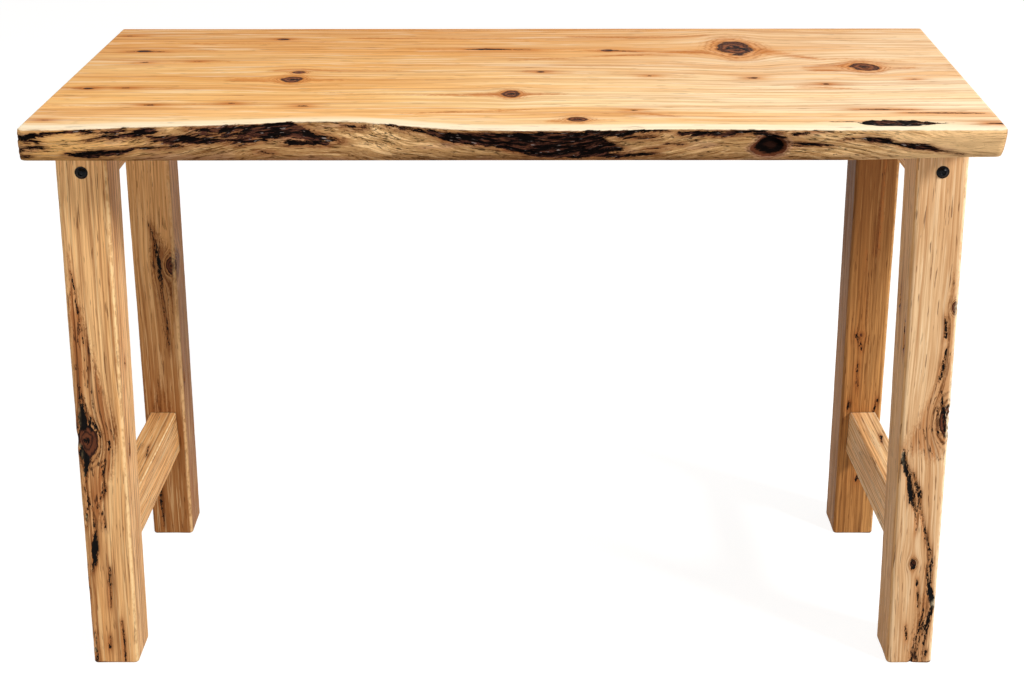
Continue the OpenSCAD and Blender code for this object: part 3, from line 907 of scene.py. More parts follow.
# Knots in the top: along, y, half length, half depth, pull
TOP_KNOTS = [
    (832, 126, 21, 44, 1.7), (981, 30, 17, 23, 1.6), (59, 112, 9, 6, 1.2), (276, 6, 8, 9, 1.4),
    (273, -27, 12, 17, 1.6), (34, -67, 5, 4.5, 3.0), (539, -93, 10, 17, 1.6), (613, -195, 11, 11, 1.4),
    (665, 114, 8, 7, 0.8), (232, 177, 8, 6, 0.8), (576, 7, 4, 4, 1.5), (918, -50, 3.5, 4, 3.0),
    (835, -22, 4, 4, 0.8),
]
# Cracks and pin knots in the top: along and y of each end, half widths
TOP_CRACKS = [
    (826, 128, 842, 124, 1.2, 3.4), (842, 124, 846, 112, 2.2, 0.8), (838, 125, 832, 140, 2.0, 0.8),
    (826, 128, 820, 118, 2.0, 0.6), (974, 31, 988, 29, 0.8, 1.4), (271, -29, 276, -28, 1.2, 2.6),
    (537, -93, 542, -92, 1.6, 2.8), (609, -195, 615, -195, 1.0, 2.0), (479, 120, 508, 121, 0.8, 4.0),
    (508, 121, 540, 119, 4.0, 1.2), (540, 119, 566, 117, 1.2, 0.5), (668, 114, 700, 110, 2.4, 0.5),
    (933, -157, 960, -157, 0.5, 1.6), (960, -157, 992, -158, 1.6, 0.4), (984, -171, 1030, -172, 0.4, 1.9),
    (1030, -172, 1068, -173, 1.9, 1.0), (54, 112, 64, 112, 2.6, 3.0), (64, 112, 84, 111, 1.4, 0.4),
    (38, 112, 54, 112, 0.4, 1.6), (73, 54, 75, 54, 1.7, 1.7), (141, 59, 142, 59, 1.2, 1.2),
    (78, -65, 80, -65, 1.6, 1.6), (33, -67, 37, -67, 1.8, 2.4), (122, -138, 126, -138, 1.6, 1.6),
    (216, -130, 218, -130, 1.4, 1.4), (300, -142, 301, -142, 2.2, 2.2), (575, 7, 577, 7, 1.8, 1.8),
    (709, -12, 710, -12, 1.4, 1.4), (833, -22, 835, -22, 2.4, 2.4), (917, -50, 918, -50, 1.6, 1.6),
    (678, -160, 679, -160, 1.4, 1.4), (1028, -28, 1028.5, -28, 1.0, 1.0), (20, -197, 21, -197, 1.0, 1.0),
    (20, 196, 21, 196, 1.0, 1.0), (1068, -211, 1078, -212, 2.0, 2.4), (232, 177, 235, 177, 1.6, 1.8),
]
# Dark orange flares along the grain: along and y of each end, half widths
TOP_FLARES = [
    (0, 108, 150, 112, 4, 3), (60, 52, 190, 56, 3, 2), (0, -66, 110, -64, 3, 2),
    (0, -140, 150, -136, 2, 2), (170, -130, 260, -131, 3, 1), (210, -28, 330, -29, 9, 4),
    (255, 8, 400, 14, 9, 1), (300, -80, 480, -96, 1, 6), (500, -94, 600, -90, 9, 3),
    (420, 118, 620, 118, 5, 3), (640, 112, 780, 100, 6, 3), (540, 60, 790, 112, 2, 8),
    (862, 118, 930, 66, 9, 4), (930, 66, 1060, 52, 4, 2), (930, 30, 1040, 28, 14, 5),
    (895, -50, 950, -60, 9, 3), (560, 8, 640, 2, 4, 2), (590, -195, 650, -192, 7, 3),
    (670, -160, 720, -176, 6, 5), (700, -12, 760, -12, 4, 1), (420, -170, 560, -150, 2, 3),
    (120, 150, 330, 156, 5, 2), (330, 178, 560, 170, 5, 3), (620, 186, 800, 176, 5, 4),
]
# Half depth of a knot in the top, in metres: so much that depth makes no difference
KNOT_THROUGH = 1.0
# Rings of the knot hole from outside in: colour, or None for its striped lip, inner and outer edge, share
HOLE_RINGS = [
    (None, 1.05, 1.55, 0.7), (KNOT_DEEP, 1.02, 1.20, 1.0),
    (BARK_BLACK, 0.78, 0.92, 1.0), (KNOT_DARK, 0.28, 0.50, 0.7),
]
# The fibres of the natural edge rise and fall along it in one long wave
FLOW_START = 0.37
FLOW_WAVES = 12.08
FLOW_HEIGHT = 0.016


def on_top(along, y):
    return (slab_low.x + along * MM, y * MM, slab_high.z)


SLAB_LOOK = {
    "Pith": (0, 0.10, 0.52), "Ring Gap": 0.0085, "Wander": 0.045, "Seed": 4.2, "Fineness": 0.46,
    "Light": CREAM, "Pale": HONEY, "Mid": AMBER, "Dark": LATE_WOOD, "Deep": PORE_AND_SHADE_BROWN, "Stained": FLARE,
    "Swirled": LATE_WOOD, "Core Tone": KNOT_BROWN, "Late Wood Share": 0.40, "Streaks Share": 0.30,
    "Fibre Share": 0.2, "Glints Share": 0.30, "Pores Share": 0.3, "Lines Share": 0.7, "Stain Share": 0.9,
    "Spread": 0.006, "Strands": (12.0, 100.0, 100.0), "Halo Reach": 2.3, "Ring Count": 20.0,
}


def top_runs(rows):
    return [(on_top(x0, y0), on_top(x1, y1), r0 * MM, r1 * MM) for x0, y0, x1, y1, r0, r1 in rows]


def top_marks():
    knots = [
        (on_top(x, y), (half_x * MM, half_y * MM, KNOT_THROUGH), pull)
        for x, y, half_x, half_y, pull in TOP_KNOTS
    ]
    return {"knots": knots, "cracks": top_runs(TOP_CRACKS), "stains": top_runs(TOP_FLARES)}


def sapwood_and_sheen(sheet, place):
    """The cream sapwood band behind the front arris, a painted sheen that pales the top toward the right,
    and the darker wood to the rear.
    """
    x, y, _ = sheet.separate(place)
    behind = sheet.maths("MULTIPLY", sheet.attribute("edge_depth"), -1.0)
    drift = sheet.maths("SUBTRACT", sheet.noise(place, (2.2, 26.0, 10.0), detail=3.0), 0.5)
    band = sheet.between(sheet.maths("MULTIPLY_ADD", drift, 26.0, behind), 12.0, 24.0, 1.0, 0.0)
    # A wide pale wash behind the front arris that widens to the right: sapwood and painted sheen.
    reach = sheet.between(x, -0.1, 0.5, 20.0, 260.0)
    wide = sheet.maths("MULTIPLY_ADD", drift, 160.0, behind)
    wash = sheet.between(wide, sheet.maths("MULTIPLY", reach, 0.2), reach, 1.0, 0.0)
    # Painted sheen: the top turns paler toward the right, where the key light's reflection falls.
    sheen_right = sheet.between(sheet.maths("MULTIPLY_ADD", drift, 0.5, x), -0.25, 0.6, 0.0, 0.85)
    sheen_right = sheet.maths("MULTIPLY", sheen_right, sheet.between(y, -0.10, 0.24, 1.0, 0.5))
    wash = sheet.maths("MULTIPLY", wash, sheet.between(x, -0.15, 0.5, 0.05, 0.8))
    sap_and_sheen = sheet.maths("MAXIMUM", sheen_right, wash)
    sap_and_sheen = sheet.maths("MAXIMUM", sap_and_sheen, sheet.between(y, -0.21, -0.10, 0.35, 0.0))
    return {
        "Sap": sheet.maths("MAXIMUM", sap_and_sheen, band),
        "Rearward": sheet.between(sheet.maths("MULTIPLY_ADD", drift, 0.2, y), -0.18, 0.2, 0.0, 0.66),
        "Calm": sheet.between(band, 0.0, 1.0, 1.0, 0.25),
    }


def edge_fibres(sheet, place):
    """The streaks, crumbs and specks of the natural edge, along a flow that rises and falls."""
    along = sheet.maths("ADD", sheet.separate(place)[0], FLOW_START)
    swell = sheet.maths("SINE", sheet.maths("MULTIPLY", along, FLOW_WAVES))
    drift = sheet.maths("SUBTRACT", sheet.noise(place, (7.0, 0.0, 26.0), detail=2.0), 0.5)
    rising = sheet.maths("MULTIPLY_ADD", swell, -FLOW_HEIGHT, sheet.maths("MULTIPLY", drift, 0.022))
    flow = sheet.vector("ADD", place, sheet.join(0.0, 0.0, rising))
    crumb = sheet.noise(flow, (74.0, 200.0, 520.0), detail=4.0, rough=0.75)
    return {
        "flow": flow,
        "streak": sheet.noise(flow, (17.0, 80.0, 320.0), detail=5.0, rough=0.74),
        "crumb": sheet.maths("SUBTRACT", crumb, 0.5),
        "specks": sheet.noise(flow, (70.0, 300.0, 620.0), detail=2.0, rough=0.6),
        "calm right": sheet.between(sheet.separate(place)[0], 0.36, 0.46, 1.0, 0.15),
    }


def edge_splits(sheet, place, fibres):
    """Thin dark splits in the natural edge."""
    ridge = sheet.noise(fibres["flow"], (18.0, 70.0, 230.0), detail=3.0, rough=0.6)
    ridge = sheet.maths("ABSOLUTE", sheet.maths("SUBTRACT", ridge, 0.5))
    split = sheet.between(sheet.maths("MULTIPLY_ADD", fibres["crumb"], 0.08, ridge), 0.004, 0.018, 1.0, 0.0)
    where = sheet.between(sheet.noise(place, (16.0, 40.0, 90.0), detail=2.0), 0.42, 0.52)
    split = sheet.maths("MULTIPLY", split, where)
    split = sheet.maths("MAXIMUM", split, sheet.between(fibres["specks"], 0.62, 0.67))
    return sheet.maths("MULTIPLY", split, fibres["calm right"])


def bare_edge(sheet, place, fibres, split):
    """The colour of the natural edge where its bark is gone."""
    x = sheet.separate(place)[0]
    streak = fibres["streak"]
    bare = sheet.maths("MULTIPLY_ADD", sheet.attribute("tone"), 0.30, streak)
    edge = sheet.mix(sheet.between(bare, 0.50, 0.60), EDGE_BROWN, EDGE_TAN)
    edge = sheet.mix(sheet.between(bare, 0.66, 0.78), edge, EDGE_CREAM)
    gold = sheet.between(x, -0.51, -0.36, 0.85, 0.0)
    gold = sheet.maths("MULTIPLY", gold, sheet.between(streak, 0.38, 0.50))
    edge = sheet.mix(gold, edge, EDGE_GOLD)
    blush = sheet.between(sheet.noise(place, (11.0, 60.0, 60.0), detail=3.0), 0.54, 0.66)
    edge = sheet.mix(sheet.maths("MULTIPLY", blush, 0.4), edge, EDGE_PINK)
    edge = sheet.mix(sheet.between(fibres["specks"], 0.30, 0.40, 0.55, 0.0), edge, EDGE_CREAM)
    edge = sheet.mix(sheet.between(x, -0.56, -0.40, 0.32, 0.0), edge, EDGE_CREAM)
    return sheet.mix(sheet.maths("MULTIPLY", split, 0.85), edge, BARK_BLACK)


def bark_tone(sheet, fibres):
    scale = sheet.noise(fibres["flow"], (40.0, 160.0, 380.0), detail=4.0, rough=0.7)
    tone = sheet.mix(sheet.between(scale, 0.50, 0.60), BARK_BLACK, BARK_BROWN)
    tone = sheet.mix(sheet.between(scale, 0.61, 0.68, 0.0, 0.8), tone, EDGE_BROWN)
    return sheet.mix(sheet.between(fibres["specks"], 0.28, 0.36, 0.6, 0.0), tone, BARK_GREY)


def edge_shading(sheet, z, fibres, edge):
    """Painted shade low down on the natural edge, toward the underside, and the rings of its knot hole."""
    # Painted shade along the bottom of the natural edge.
    low = sheet.between(z, (UNDERSIDE + 1) * MM, (UNDERSIDE + 13) * MM, 0.6, 0.0)
    edge = sheet.mix(sheet.maths("MULTIPLY", low, fibres["calm right"]), edge, PORE_AND_SHADE_BROWN)
    hole = sheet.maths("MULTIPLY_ADD", fibres["crumb"], 0.5, sheet.attribute("hole"))
    wave = sheet.maths("MULTIPLY_ADD", sheet.maths("SINE", sheet.maths("MULTIPLY", hole, 22.0)), 0.5, 0.5)
    lip = sheet.mix(wave, EDGE_PINK, KNOT_DEEP)
    for ring, inner, outer, share in HOLE_RINGS:
        edge = sheet.mix(sheet.between(hole, inner, outer, share, 0.0), edge, ring or lip)
    return edge


def slab_height(sheet, place, fibres, rugged, split):
    """Height for the slab's bump: fine fibres on the sawn faces, splits and crumbs where it is rugged."""
    height = sheet.group(FINE_RELIEF, {"Place": place})["Height"]
    height = sheet.maths("MULTIPLY", height, sheet.maths("MULTIPLY_ADD", rugged, -0.3, 0.3))
    height = sheet.maths("MULTIPLY_ADD", split, -1.2, height)
    height = sheet.maths("MULTIPLY_ADD", sheet.maths("MULTIPLY", fibres["streak"], rugged), 3.0, height)
    return sheet.maths("MULTIPLY_ADD", sheet.maths("MULTIPLY", fibres["crumb"], rugged), 2.0, height)


def slab_material():
    made, sheet = new_material("lacquered_slab")
    place = sheet.node("ShaderNodeTexCoord").outputs["Object"]
    tone, fibre = figured_wood(sheet, place, {**SLAB_LOOK, **sapwood_and_sheen(sheet, place)}, top_marks())
    fibres = edge_fibres(sheet, place)
    split = edge_splits(sheet, place, fibres)
    edge = bare_edge(sheet, place, fibres, split)
    bark_depth = sheet.maths("SUBTRACT", fibres["streak"], 0.5)
    bark_depth = sheet.maths("MULTIPLY_ADD", bark_depth, 7.0, sheet.attribute("bark"))
    bark_depth = sheet.maths("MULTIPLY_ADD", fibres["crumb"], 9.0, bark_depth)
    bark = sheet.between(bark_depth, 0.0, 0.7)
    rind = sheet.between(bark_depth, -4.0, 0.0)
    edge = sheet.mix(sheet.maths("MULTIPLY", rind, 0.55), edge, KNOT_BROWN)
    edge = edge_shading(sheet, sheet.separate(place)[2], fibres, edge)
    inside = sheet.maths("MULTIPLY_ADD", fibres["crumb"], 2.0, sheet.attribute("edge_depth"))
    on_face = sheet.between(inside, 0.2, 1.4)
    tone = sheet.mix(bark, sheet.mix(on_face, tone, edge), bark_tone(sheet, fibres))
    tone = end_grain(sheet, tone, LATE_WOOD, Matrix.Identity(4))
    rugged = sheet.maths("MAXIMUM", on_face, bark)
    height = slab_height(sheet, place, fibres, rugged, sheet.maths("MULTIPLY", split, on_face))
    bump = sheet.node("ShaderNodeBump", {"Height": height, "Strength": 0.8, "Distance": 0.0020})
    gloss = sheet.between(fibre, 0.0, 1.0, 0.44, 0.54)
    roughness = sheet.between(rugged, 0.0, 1.0, gloss, 0.6)
    surface(sheet, tone, roughness, bump.outputs[0], Specular_IOR_Level=0.012)
    return made


# The legs

FRONT_FACE = -LEG_SIZE / 2
# Cracks in the legs' front faces: height and across at each end, then half widths
LEG_CRACKS = {
    "front_left": [
        (358, -22, 408, -21, 2.6, 0.8), (354, -10, 398, -19, 2.2, 0.7), (362, -17, 392, -19, 2.0, 1.4),
        (352, -27, 322, -28, 1.6, 1.8), (560, -20, 520, -17, 0.5, 0.9), (520, -17, 470, -12, 0.9, 0.5),
        (404, -20, 362, -20, 1.0, 5.5), (366, -10, 344, 0, 2.4, 1.8), (322, -24, 300, -18, 4.0, 2.0),
        (336, -18, 334, -18, 2.2, 2.2), (310, -19, 280, -22, 4.0, 1.2), (289, -2, 268, 1, 1.4, 2.0),
        (334, 10, 329, 10, 1.6, 2.0), (308, 4, 294, 0, 1.0, 2.2), (264, 0, 240, -10, 1.6, 0.8),
        (240, -16, 205, -14.5, 0.8, 2.4), (205, -14.5, 182, -16.8, 2.2, 4.6),
        (182, -16.8, 158, -18.4, 4.6, 3.0), (268, -24, 246, -20, 0.8, 1.5),
        (236, -23, 214, -26, 1.2, 1.6), (232, -4, 214, -2, 1.0, 1.2), (158, -18.4, 142, -24, 3.2, 0.8),
        (148, 0.5, 126, -0.8, 0.9, 2.1), (126, -1, 92, -2.4, 1.7, 1.1), (66, 11, 36, 12, 0.7, 1.9),
        (36, 12, 5, 12.6, 1.7, 0.9), (38, -6, 27, -7, 1.4, 1.8), (46, -25, 4, -26, 1.0, 2.6),
    ],
    "front_right": [
        (503, 15.7, 480, 17, 1.2, 1.9), (461, 19, 437, 16, 1.0, 2.0), (437, 16, 420, 13, 2.4, 0.9),
        (402, 17, 376, 20, 1.2, 2.4), (323, -25, 309, -24, 1.6, 3.2), (309, -24, 286, -16.5, 3.2, 2.8),
        (286, -16.5, 256, -11.5, 3.0, 4.2), (256, -11.5, 232, -3.2, 3.0, 1.6),
        (232, -3.2, 205, -2.6, 1.8, 0.8), (290, -12, 260, -1.6, 1.4, 2.6),
        (260, -1.6, 244, -0.8, 3.0, 2.2), (244, -0.8, 204, 8.6, 1.8, 1.2), (204, 8.6, 154, 22, 1.8, 1.0),
        (180, 16, 128, 20, 1.0, 2.2), (149, 15.5, 118, 19, 2.2, 2.8), (118, 19, 92, 26, 2.8, 4.4),
        (92, 26, 66, 21, 3.4, 2.6), (66, 21, 40, 11, 2.4, 1.4), (70, 18, 44, 7, 1.2, 1.8),
        (44, 7, 1, 2, 2.0, 2.4), (48, 12, 22, 9, 1.2, 1.5), (34, 5, 2, 8, 1.6, 1.8),
        (60, 22, 30, 17, 0.8, 1.2), (84, 14, 60, 10, 0.8, 1.1), (130, 3, 92, 6, 1.0, 1.4),
        (16, 21, 13, 21, 1.8, 1.8), (58, -8, 40, -6, 0.8, 1.4), (372, 22, 352, 24, 2.6, 1.8),
        (380, 14, 350, 16, 1.0, 1.4), (158, -3.5, 154, -3.5, 3.0, 3.0), (384, 26, 366, 29, 1.4, 2.2),
    ],
    "rear_left": [
        (510, -3, 484, 4, 0.7, 2.2), (484, 4, 440, 8, 2.2, 3.2), (440, 8, 396, 9, 3.2, 1.4),
        (396, 9, 350, 13, 2.0, 1.2), (350, 13, 317, 14, 1.2, 0.5), (98, -14, 52, -14.7, 1.6, 2.0),
        (52, -14.7, 15, -13, 1.6, 0.7),
    ],
    "rear_right": [
        (292, -9.5, 284, -10.5, 0.8, 1.5), (276, -10, 258, -9, 0.7, 1.2), (336, -12, 318, -6, 1.4, 1.0),
        (229, -19, 222, -20, 1.4, 1.8), (104, 4, 98, -1, 2.4, 1.6), (232, 22, 214, 18, 1.4, 1.0),
        (340, -16, 336, -12, 1.0, 1.6),
    ],
}
# Stains in the legs' front faces, in the same way
LEG_STAINS = {
    "front_left": [
        (590, -22, 483, -19, 1.0, 13.0), (483, -19, 430, -14, 13.0, 17.0),
        (430, -14, 352, -7, 17.0, 24.0), (352, -7, 310, -8, 24.0, 20.0),
        (310, -10, 225, -14, 20.0, 10.0), (262, -22, 212, -20, 5.0, 4.0),
    ],
    "front_right": [
        (64, 16, 2, 5, 6.0, 7.0), (560, 22, 524, 25, 1.0, 6.0), (505, 24, 380, 25, 5.0, 8.0),
        (402, 22, 350, 16, 12.0, 20.0), (350, 14, 328, -16, 14.0, 7.0), (130, 18, 10, 8, 6.0, 12.0),
    ],
    "rear_left": [
        (284, -2.5, 222, -6, 1.4, 4.0), (250, -5, 219, -14, 2.4, 5.0), (250, 0, 219, 7, 2.0, 5.0),
        (520, 0, 452, 16, 3.0, 15.0), (452, 16, 380, 13, 15.0, 9.0), (380, 13, 310, 14, 9.0, 3.0),
    ],
    "rear_right": [
        (470, -8, 360, -1.5, 1.2, 1.2), (350, -14, 330, -2, 3.0, 6.0), (620, 10, 470, 6, 2.0, 4.0),
    ],
}
# Cracks in the legs' sides: height, across and depth at each end, then half widths
SIDE_CRACKS = {
    "front_left": [
        (150, -29, -29, 96, -29.5, -29, 1.2, 2.2), (96, -29.5, -29, 48, -29, -29, 2.2, 1.0),
        (439, 30, -3, 434, 30, -3, 1.0, 1.6), (322, 30, -8, 308, 30, -8, 0.8, 1.6),
    ],
    "front_right": [
        (528, -30, 10.6, 506, -30, 10.6, 0.8, 1.8), (496, -30, -17.8, 462, -30, -17.8, 0.8, 2.4),
    ],
    "rear_left": [
        (276, 30, -19, 262, 30, -19, 1.0, 2.0),
    ],
    "rear_right": [],
}
# Knots in the legs: height, across, depth, half height, half width, half depth, pull
LEG_KNOTS = {
    "front_left": [(336, -16, -30, 21, 17, 30, 1.2)],
    "front_right": [
        (517, 26, -30, 7.0, 5.6, 14, 1.6), (363, 26, -30, 21, 13, 30, 2.6), (156, -3.5, -30, 6, 5, 12, 2.6),
    ],
    "rear_left": [(450, 24, -30, 13, 9, 15, 3.0)],
    "rear_right": [(340, -8, -30, 2.2, 2.0, 6, 6.0)],
}
FOOT_EASE = 3.0
LEG_FACE_COLUMNS = 22
LEG_ARC_COLUMNS = 5
LEG_ROW_GAP = 3.0
CRACK_CUT = 2.2
NEAR_CRACK = 8
KNOT_SINK = 1.3
KNOT_RIM = 0.35
KNOT_RIM_END = 1.6
LEG_WAVE = 0.35
LEG_ROUGH = 0.25
LEG_CHIP = 0.5


def leg_facts(end, side):
    """A leg's turn, the middle of its top and its length along its own line."""
    spread = FRONT_SPREAD if end == "front" else REAR_SPREAD
    outward = -1 if end == "front" else 1
    sign = 1 if side == "right" else -1
    lean_y = -math.atan(spread / UNDERSIDE)
    lean_x = math.atan(outward * DEPTH_SPREAD / UNDERSIDE * math.cos(lean_y))
    turn = Matrix.Rotation(sign * lean_y, 3, "Y") @ Matrix.Rotation(lean_x, 3, "X")
    pivot = Vector((MIDDLE_X + sign * LEG_X, FRONT_LEG_Y if end == "front" else REAR_LEG_Y, UNDERSIDE))
    return turn, pivot, math.sqrt(UNDERSIDE ** 2 + spread ** 2 + DEPTH_SPREAD ** 2)


def standing(turn, pivot, length):
    """Puts a piece whose X runs up the leg into the row frame."""
    upright = Matrix(((0, 1, 0), (0, 0, 1), (1, 0, 0)))
    place = (turn @ upright).to_4x4()
    place.translation = (pivot - turn @ Vector((0, 0, length))) * MM
    return place


def rounded_square(size, radius, columns, arc):
    """Points round a square with rounded corners, each with how near it is to an arris, from 0 to 1."""
    half = size / 2
    straight = half - radius
    points = []
    for quarter in range(4):
        turn = Matrix.Rotation(math.radians(90 * quarter), 2)
        for i in range(columns):
            x = straight * (2 * i / columns - 1)
            nearness = step(abs(x), straight - 1.5, straight)
            points.append((turn @ Vector((x, -half)), 0.2 * nearness))
        for i in range(arc):
            angle = math.radians(90 * i / arc)
            corner = Vector((straight + radius * math.sin(angle), -straight - radius * math.cos(angle)))
            points.append((turn @ corner, 0.2 + 0.8 * math.sin(math.pi * i / arc) ** 2))
    return points


def on_front(rows):
    """Rows of a leg's front face with its depth put in at each end."""
    return [(*row[:2], FRONT_FACE, *row[2:4], FRONT_FACE, *row[4:]) for row in rows]


def leg_cracks(name):
    return on_front(LEG_CRACKS[name]) + SIDE_CRACKS[name]


def crack_cut(cracks, height, across, depth):
    """How deep a crack is at a place on a leg, in millimetres."""
    deepest = 0
    for h0, a0, d0, h1, a1, d1, r0, r1 in cracks:
        if not min(h0, h1) - NEAR_CRACK <= height <= max(h0, h1) + NEAR_CRACK:
            continue
        start = Vector((h0, a0, d0))
        run = Vector((h1, a1, d1)) - start
        here = Vector((height, across, depth)) - start
        share = max(0, min(1, here.dot(run) / run.length_squared))
        off = (here - run * share).length
        width = r0 + (r1 - r0) * share
        deepest = max(deepest, CRACK_CUT * step(off, 1.25 * width + 0.4, 0.4 * width) * min(1, width / 1.6))
    return deepest


def knot_cut(knots, height, across, depth):
    """A raised rim and a sunk heart at each knot of a leg, in millimetres."""
    cut = 0
    for h, a, d, half_h, half_a, half_d, _ in knots:
        far = Vector(((height - h) / half_h, (across - a) / half_a, (depth - d) / half_d)).length
        if far < KNOT_RIM_END:
            cut += KNOT_SINK * step(far, 1.0, 0.75) * (0.5 + 0.5 * math.sin(far * 17))
            cut -= KNOT_RIM * step(far, KNOT_RIM_END, 1.1) * step(far, 0.9, 1.05)
    return cut


def leg_cut(cracks, knots, height, flat, near, seed):
    """How far a leg is cut back at a place: waves, roughness, chipped arrises, cracks and knots."""
    wave = 0.5 + noise.noise(Vector((height * 0.012, flat.x * 0.05 + seed, flat.y * 0.05)))
    rough = abs(noise.noise(Vector((height * 0.05, flat.x * 0.35 + seed, flat.y * 0.35))))
    chip = near * abs(noise.noise(Vector((height * 0.11, seed + flat.x, flat.y))))
    cut = LEG_WAVE * wave + LEG_ROUGH * rough + LEG_CHIP * chip
    return cut + crack_cut(cracks, height, flat.x, flat.y) + knot_cut(knots, height, flat.x, flat.y)


def build_leg(name, seed):
    turn, pivot, length = leg_facts(*name.split("_"))
    place = standing(turn, pivot, length)
    cracks = leg_cracks(name)
    outline = rounded_square(LEG_SIZE, LEG_ROUND, LEG_FACE_COLUMNS, LEG_ARC_COLUMNS)
    up = turn @ Vector((0, 0, 1))
    rows = round(length / LEG_ROW_GAP)
    levels = [0, 0.25 * FOOT_EASE, 0.6 * FOOT_EASE, FOOT_EASE]
    levels += [FOOT_EASE + (length - FOOT_EASE) * i / rows for i in range(1, rows + 1)]
    rings = []
    for level in levels:
        ring = []
        for flat, near in outline:
            floor_line = turn @ Vector((flat.x, flat.y, -length)) + pivot
            roof_line = turn @ Vector((flat.x, flat.y, 0)) + pivot
            foot = -floor_line.z / up.z
            roof = length + (UNDERSIDE - roof_line.z) / up.z
            height = foot + (roof - foot) * level / length
            cut = ease(level, FOOT_EASE) + leg_cut(cracks, LEG_KNOTS[name], height, flat, near, seed)
            inward = flat * (1 - max(0, cut) / flat.length)
            point = place @ (Vector((height, inward.x, inward.y)) * MM)
            ring.append(Vector((point.x, point.y, max(0, point.z))))
        rings.append(ring)
    arris = [near for _ in levels for flat, near in outline]
    return skin(f"leg_{name}_timber", rings, {"arris": arris})


def own_runs(rows):
    """Runs in a piece's own frame in metres, from rows of millimetres."""
    return [(Vector(row[:3]) * MM, Vector(row[3:6]) * MM, row[6] * MM, row[7] * MM) for row in rows]


def leg_material(name, look):
    marks = {
        "knots": [(Vector(row[:3]) * MM, Vector(row[3:6]) * MM, row[6]) for row in LEG_KNOTS[name]],
        "cracks": own_runs(leg_cracks(name)),
        "stains": own_runs(on_front(LEG_STAINS[name])),
    }
    return timber(f"leg_{name}_wood", look, standing(*leg_facts(*name.split("_"))), marks)


# Stretchers and rails

BAR_EASE = 2.2
BAR_FACE_COLUMNS = 14
BAR_ARC_COLUMNS = 4
BAR_ROW_GAP = 4.0
TENON_EASE = 0.8
BAR_ROUGH = 0.3
BAR_CHIP = 0.6
BAR_WAVE = 0.35
# Cracks in the stretchers: along, across and up at each end, then half widths. Their tops are 33 up
STRETCHER_CRACKS = {
    "left": [(88, 4, 33, 100, 6, 33, 0.8, 1.8), (150, -8, 33, 176, -4, 33, 0.6, 1.0)],
    "right": [(60, 5, 33, 85, 9, 33, 0.7, 1.1), (190, -6, 33, 205, -9, 33, 1.0, 1.6)],
}


def axis_point(end, side, z):
    """Where a leg's middle line is at a height."""
    spread = FRONT_SPREAD if end == "front" else REAR_SPREAD
    outward = -1 if end == "front" else 1
    sign = 1 if side == "right" else -1
    share = (UNDERSIDE - z) / UNDERSIDE
    y = (FRONT_LEG_Y if end == "front" else REAR_LEG_Y) + outward * DEPTH_SPREAD * share
    return Vector((MIDDLE_X + sign * (LEG_X + spread * share), y, z))


def bar_place(side, z):
    """Row-frame matrix of a bar, with X from the front leg's middle to the rear one's, and its run."""
    front = axis_point("front", side, z)
    rear = axis_point("rear", side, z)
    along = (rear - front).normalized()
    up = Vector((0, 0, 1))
    across = up.cross(along)
    place = Matrix((along, across, up)).transposed().to_4x4()
    place.translation = front * MM
    return place, (rear - front).length


def bar_outline(thickness, height, radius):
    """Points round a bar's section, each with how near it is to an arris, from 0 to 1."""
    points = []
    corners = [(1, -1), (1, 1), (-1, 1), (-1, -1)]
    for k, (sx, sy) in enumerate(corners):
        centre = Vector((sx * (thickness / 2 - radius), sy * (height / 2 - radius)))
        for i in range(BAR_ARC_COLUMNS + 1):
            angle = math.radians(90 * k - 90 + 90 * i / BAR_ARC_COLUMNS)
            corner = centre + radius * Vector((math.cos(angle), math.sin(angle)))
            points.append((corner, math.sin(math.pi * i / BAR_ARC_COLUMNS)))
        next_x, next_y = corners[(k + 1) % 4]
        target = Vector((next_x * (thickness / 2 - radius), next_y * (height / 2 - radius)))
        out = radius * Vector((math.cos(math.radians(90 * k)), math.sin(math.radians(90 * k))))
        for i in range(1, BAR_FACE_COLUMNS):
            points.append((centre.lerp(target, i / BAR_FACE_COLUMNS) + out, 0))
    return points


def leg_face_at(place, end, side, flat):
    """Where a bar's long line through a place on its section meets the leg's face, along the bar."""
    turn, pivot, _ = leg_facts(end, side)
    inward = turn @ Vector((0, 1 if end == "front" else -1, 0))
    on_face = pivot + inward * LEG_SIZE / 2
    start = place @ (Vector((0, flat.x, flat.y)) * MM) / MM
    along = place.to_3x3() @ Vector((1, 0, 0))
    return (on_face - start).dot(inward) / along.dot(inward)


def bar_cut(side, x, flat, near):
    """How far a stretcher is cut back at a place: roughness, chipped arrises and waves."""
    shift = len(side)
    rough = abs(noise.noise(Vector((x * 0.05, flat.x * 0.4 + shift, flat.y * 0.4))))
    chip = near * abs(noise.noise(Vector((x * 0.12, flat.x, flat.y + shift))))
    wave = 0.5 + noise.noise(Vector((x * 0.02, flat.x * 0.05, flat.y * 0.05 + shift)))
    return BAR_ROUGH * rough + BAR_CHIP * chip + BAR_WAVE * wave


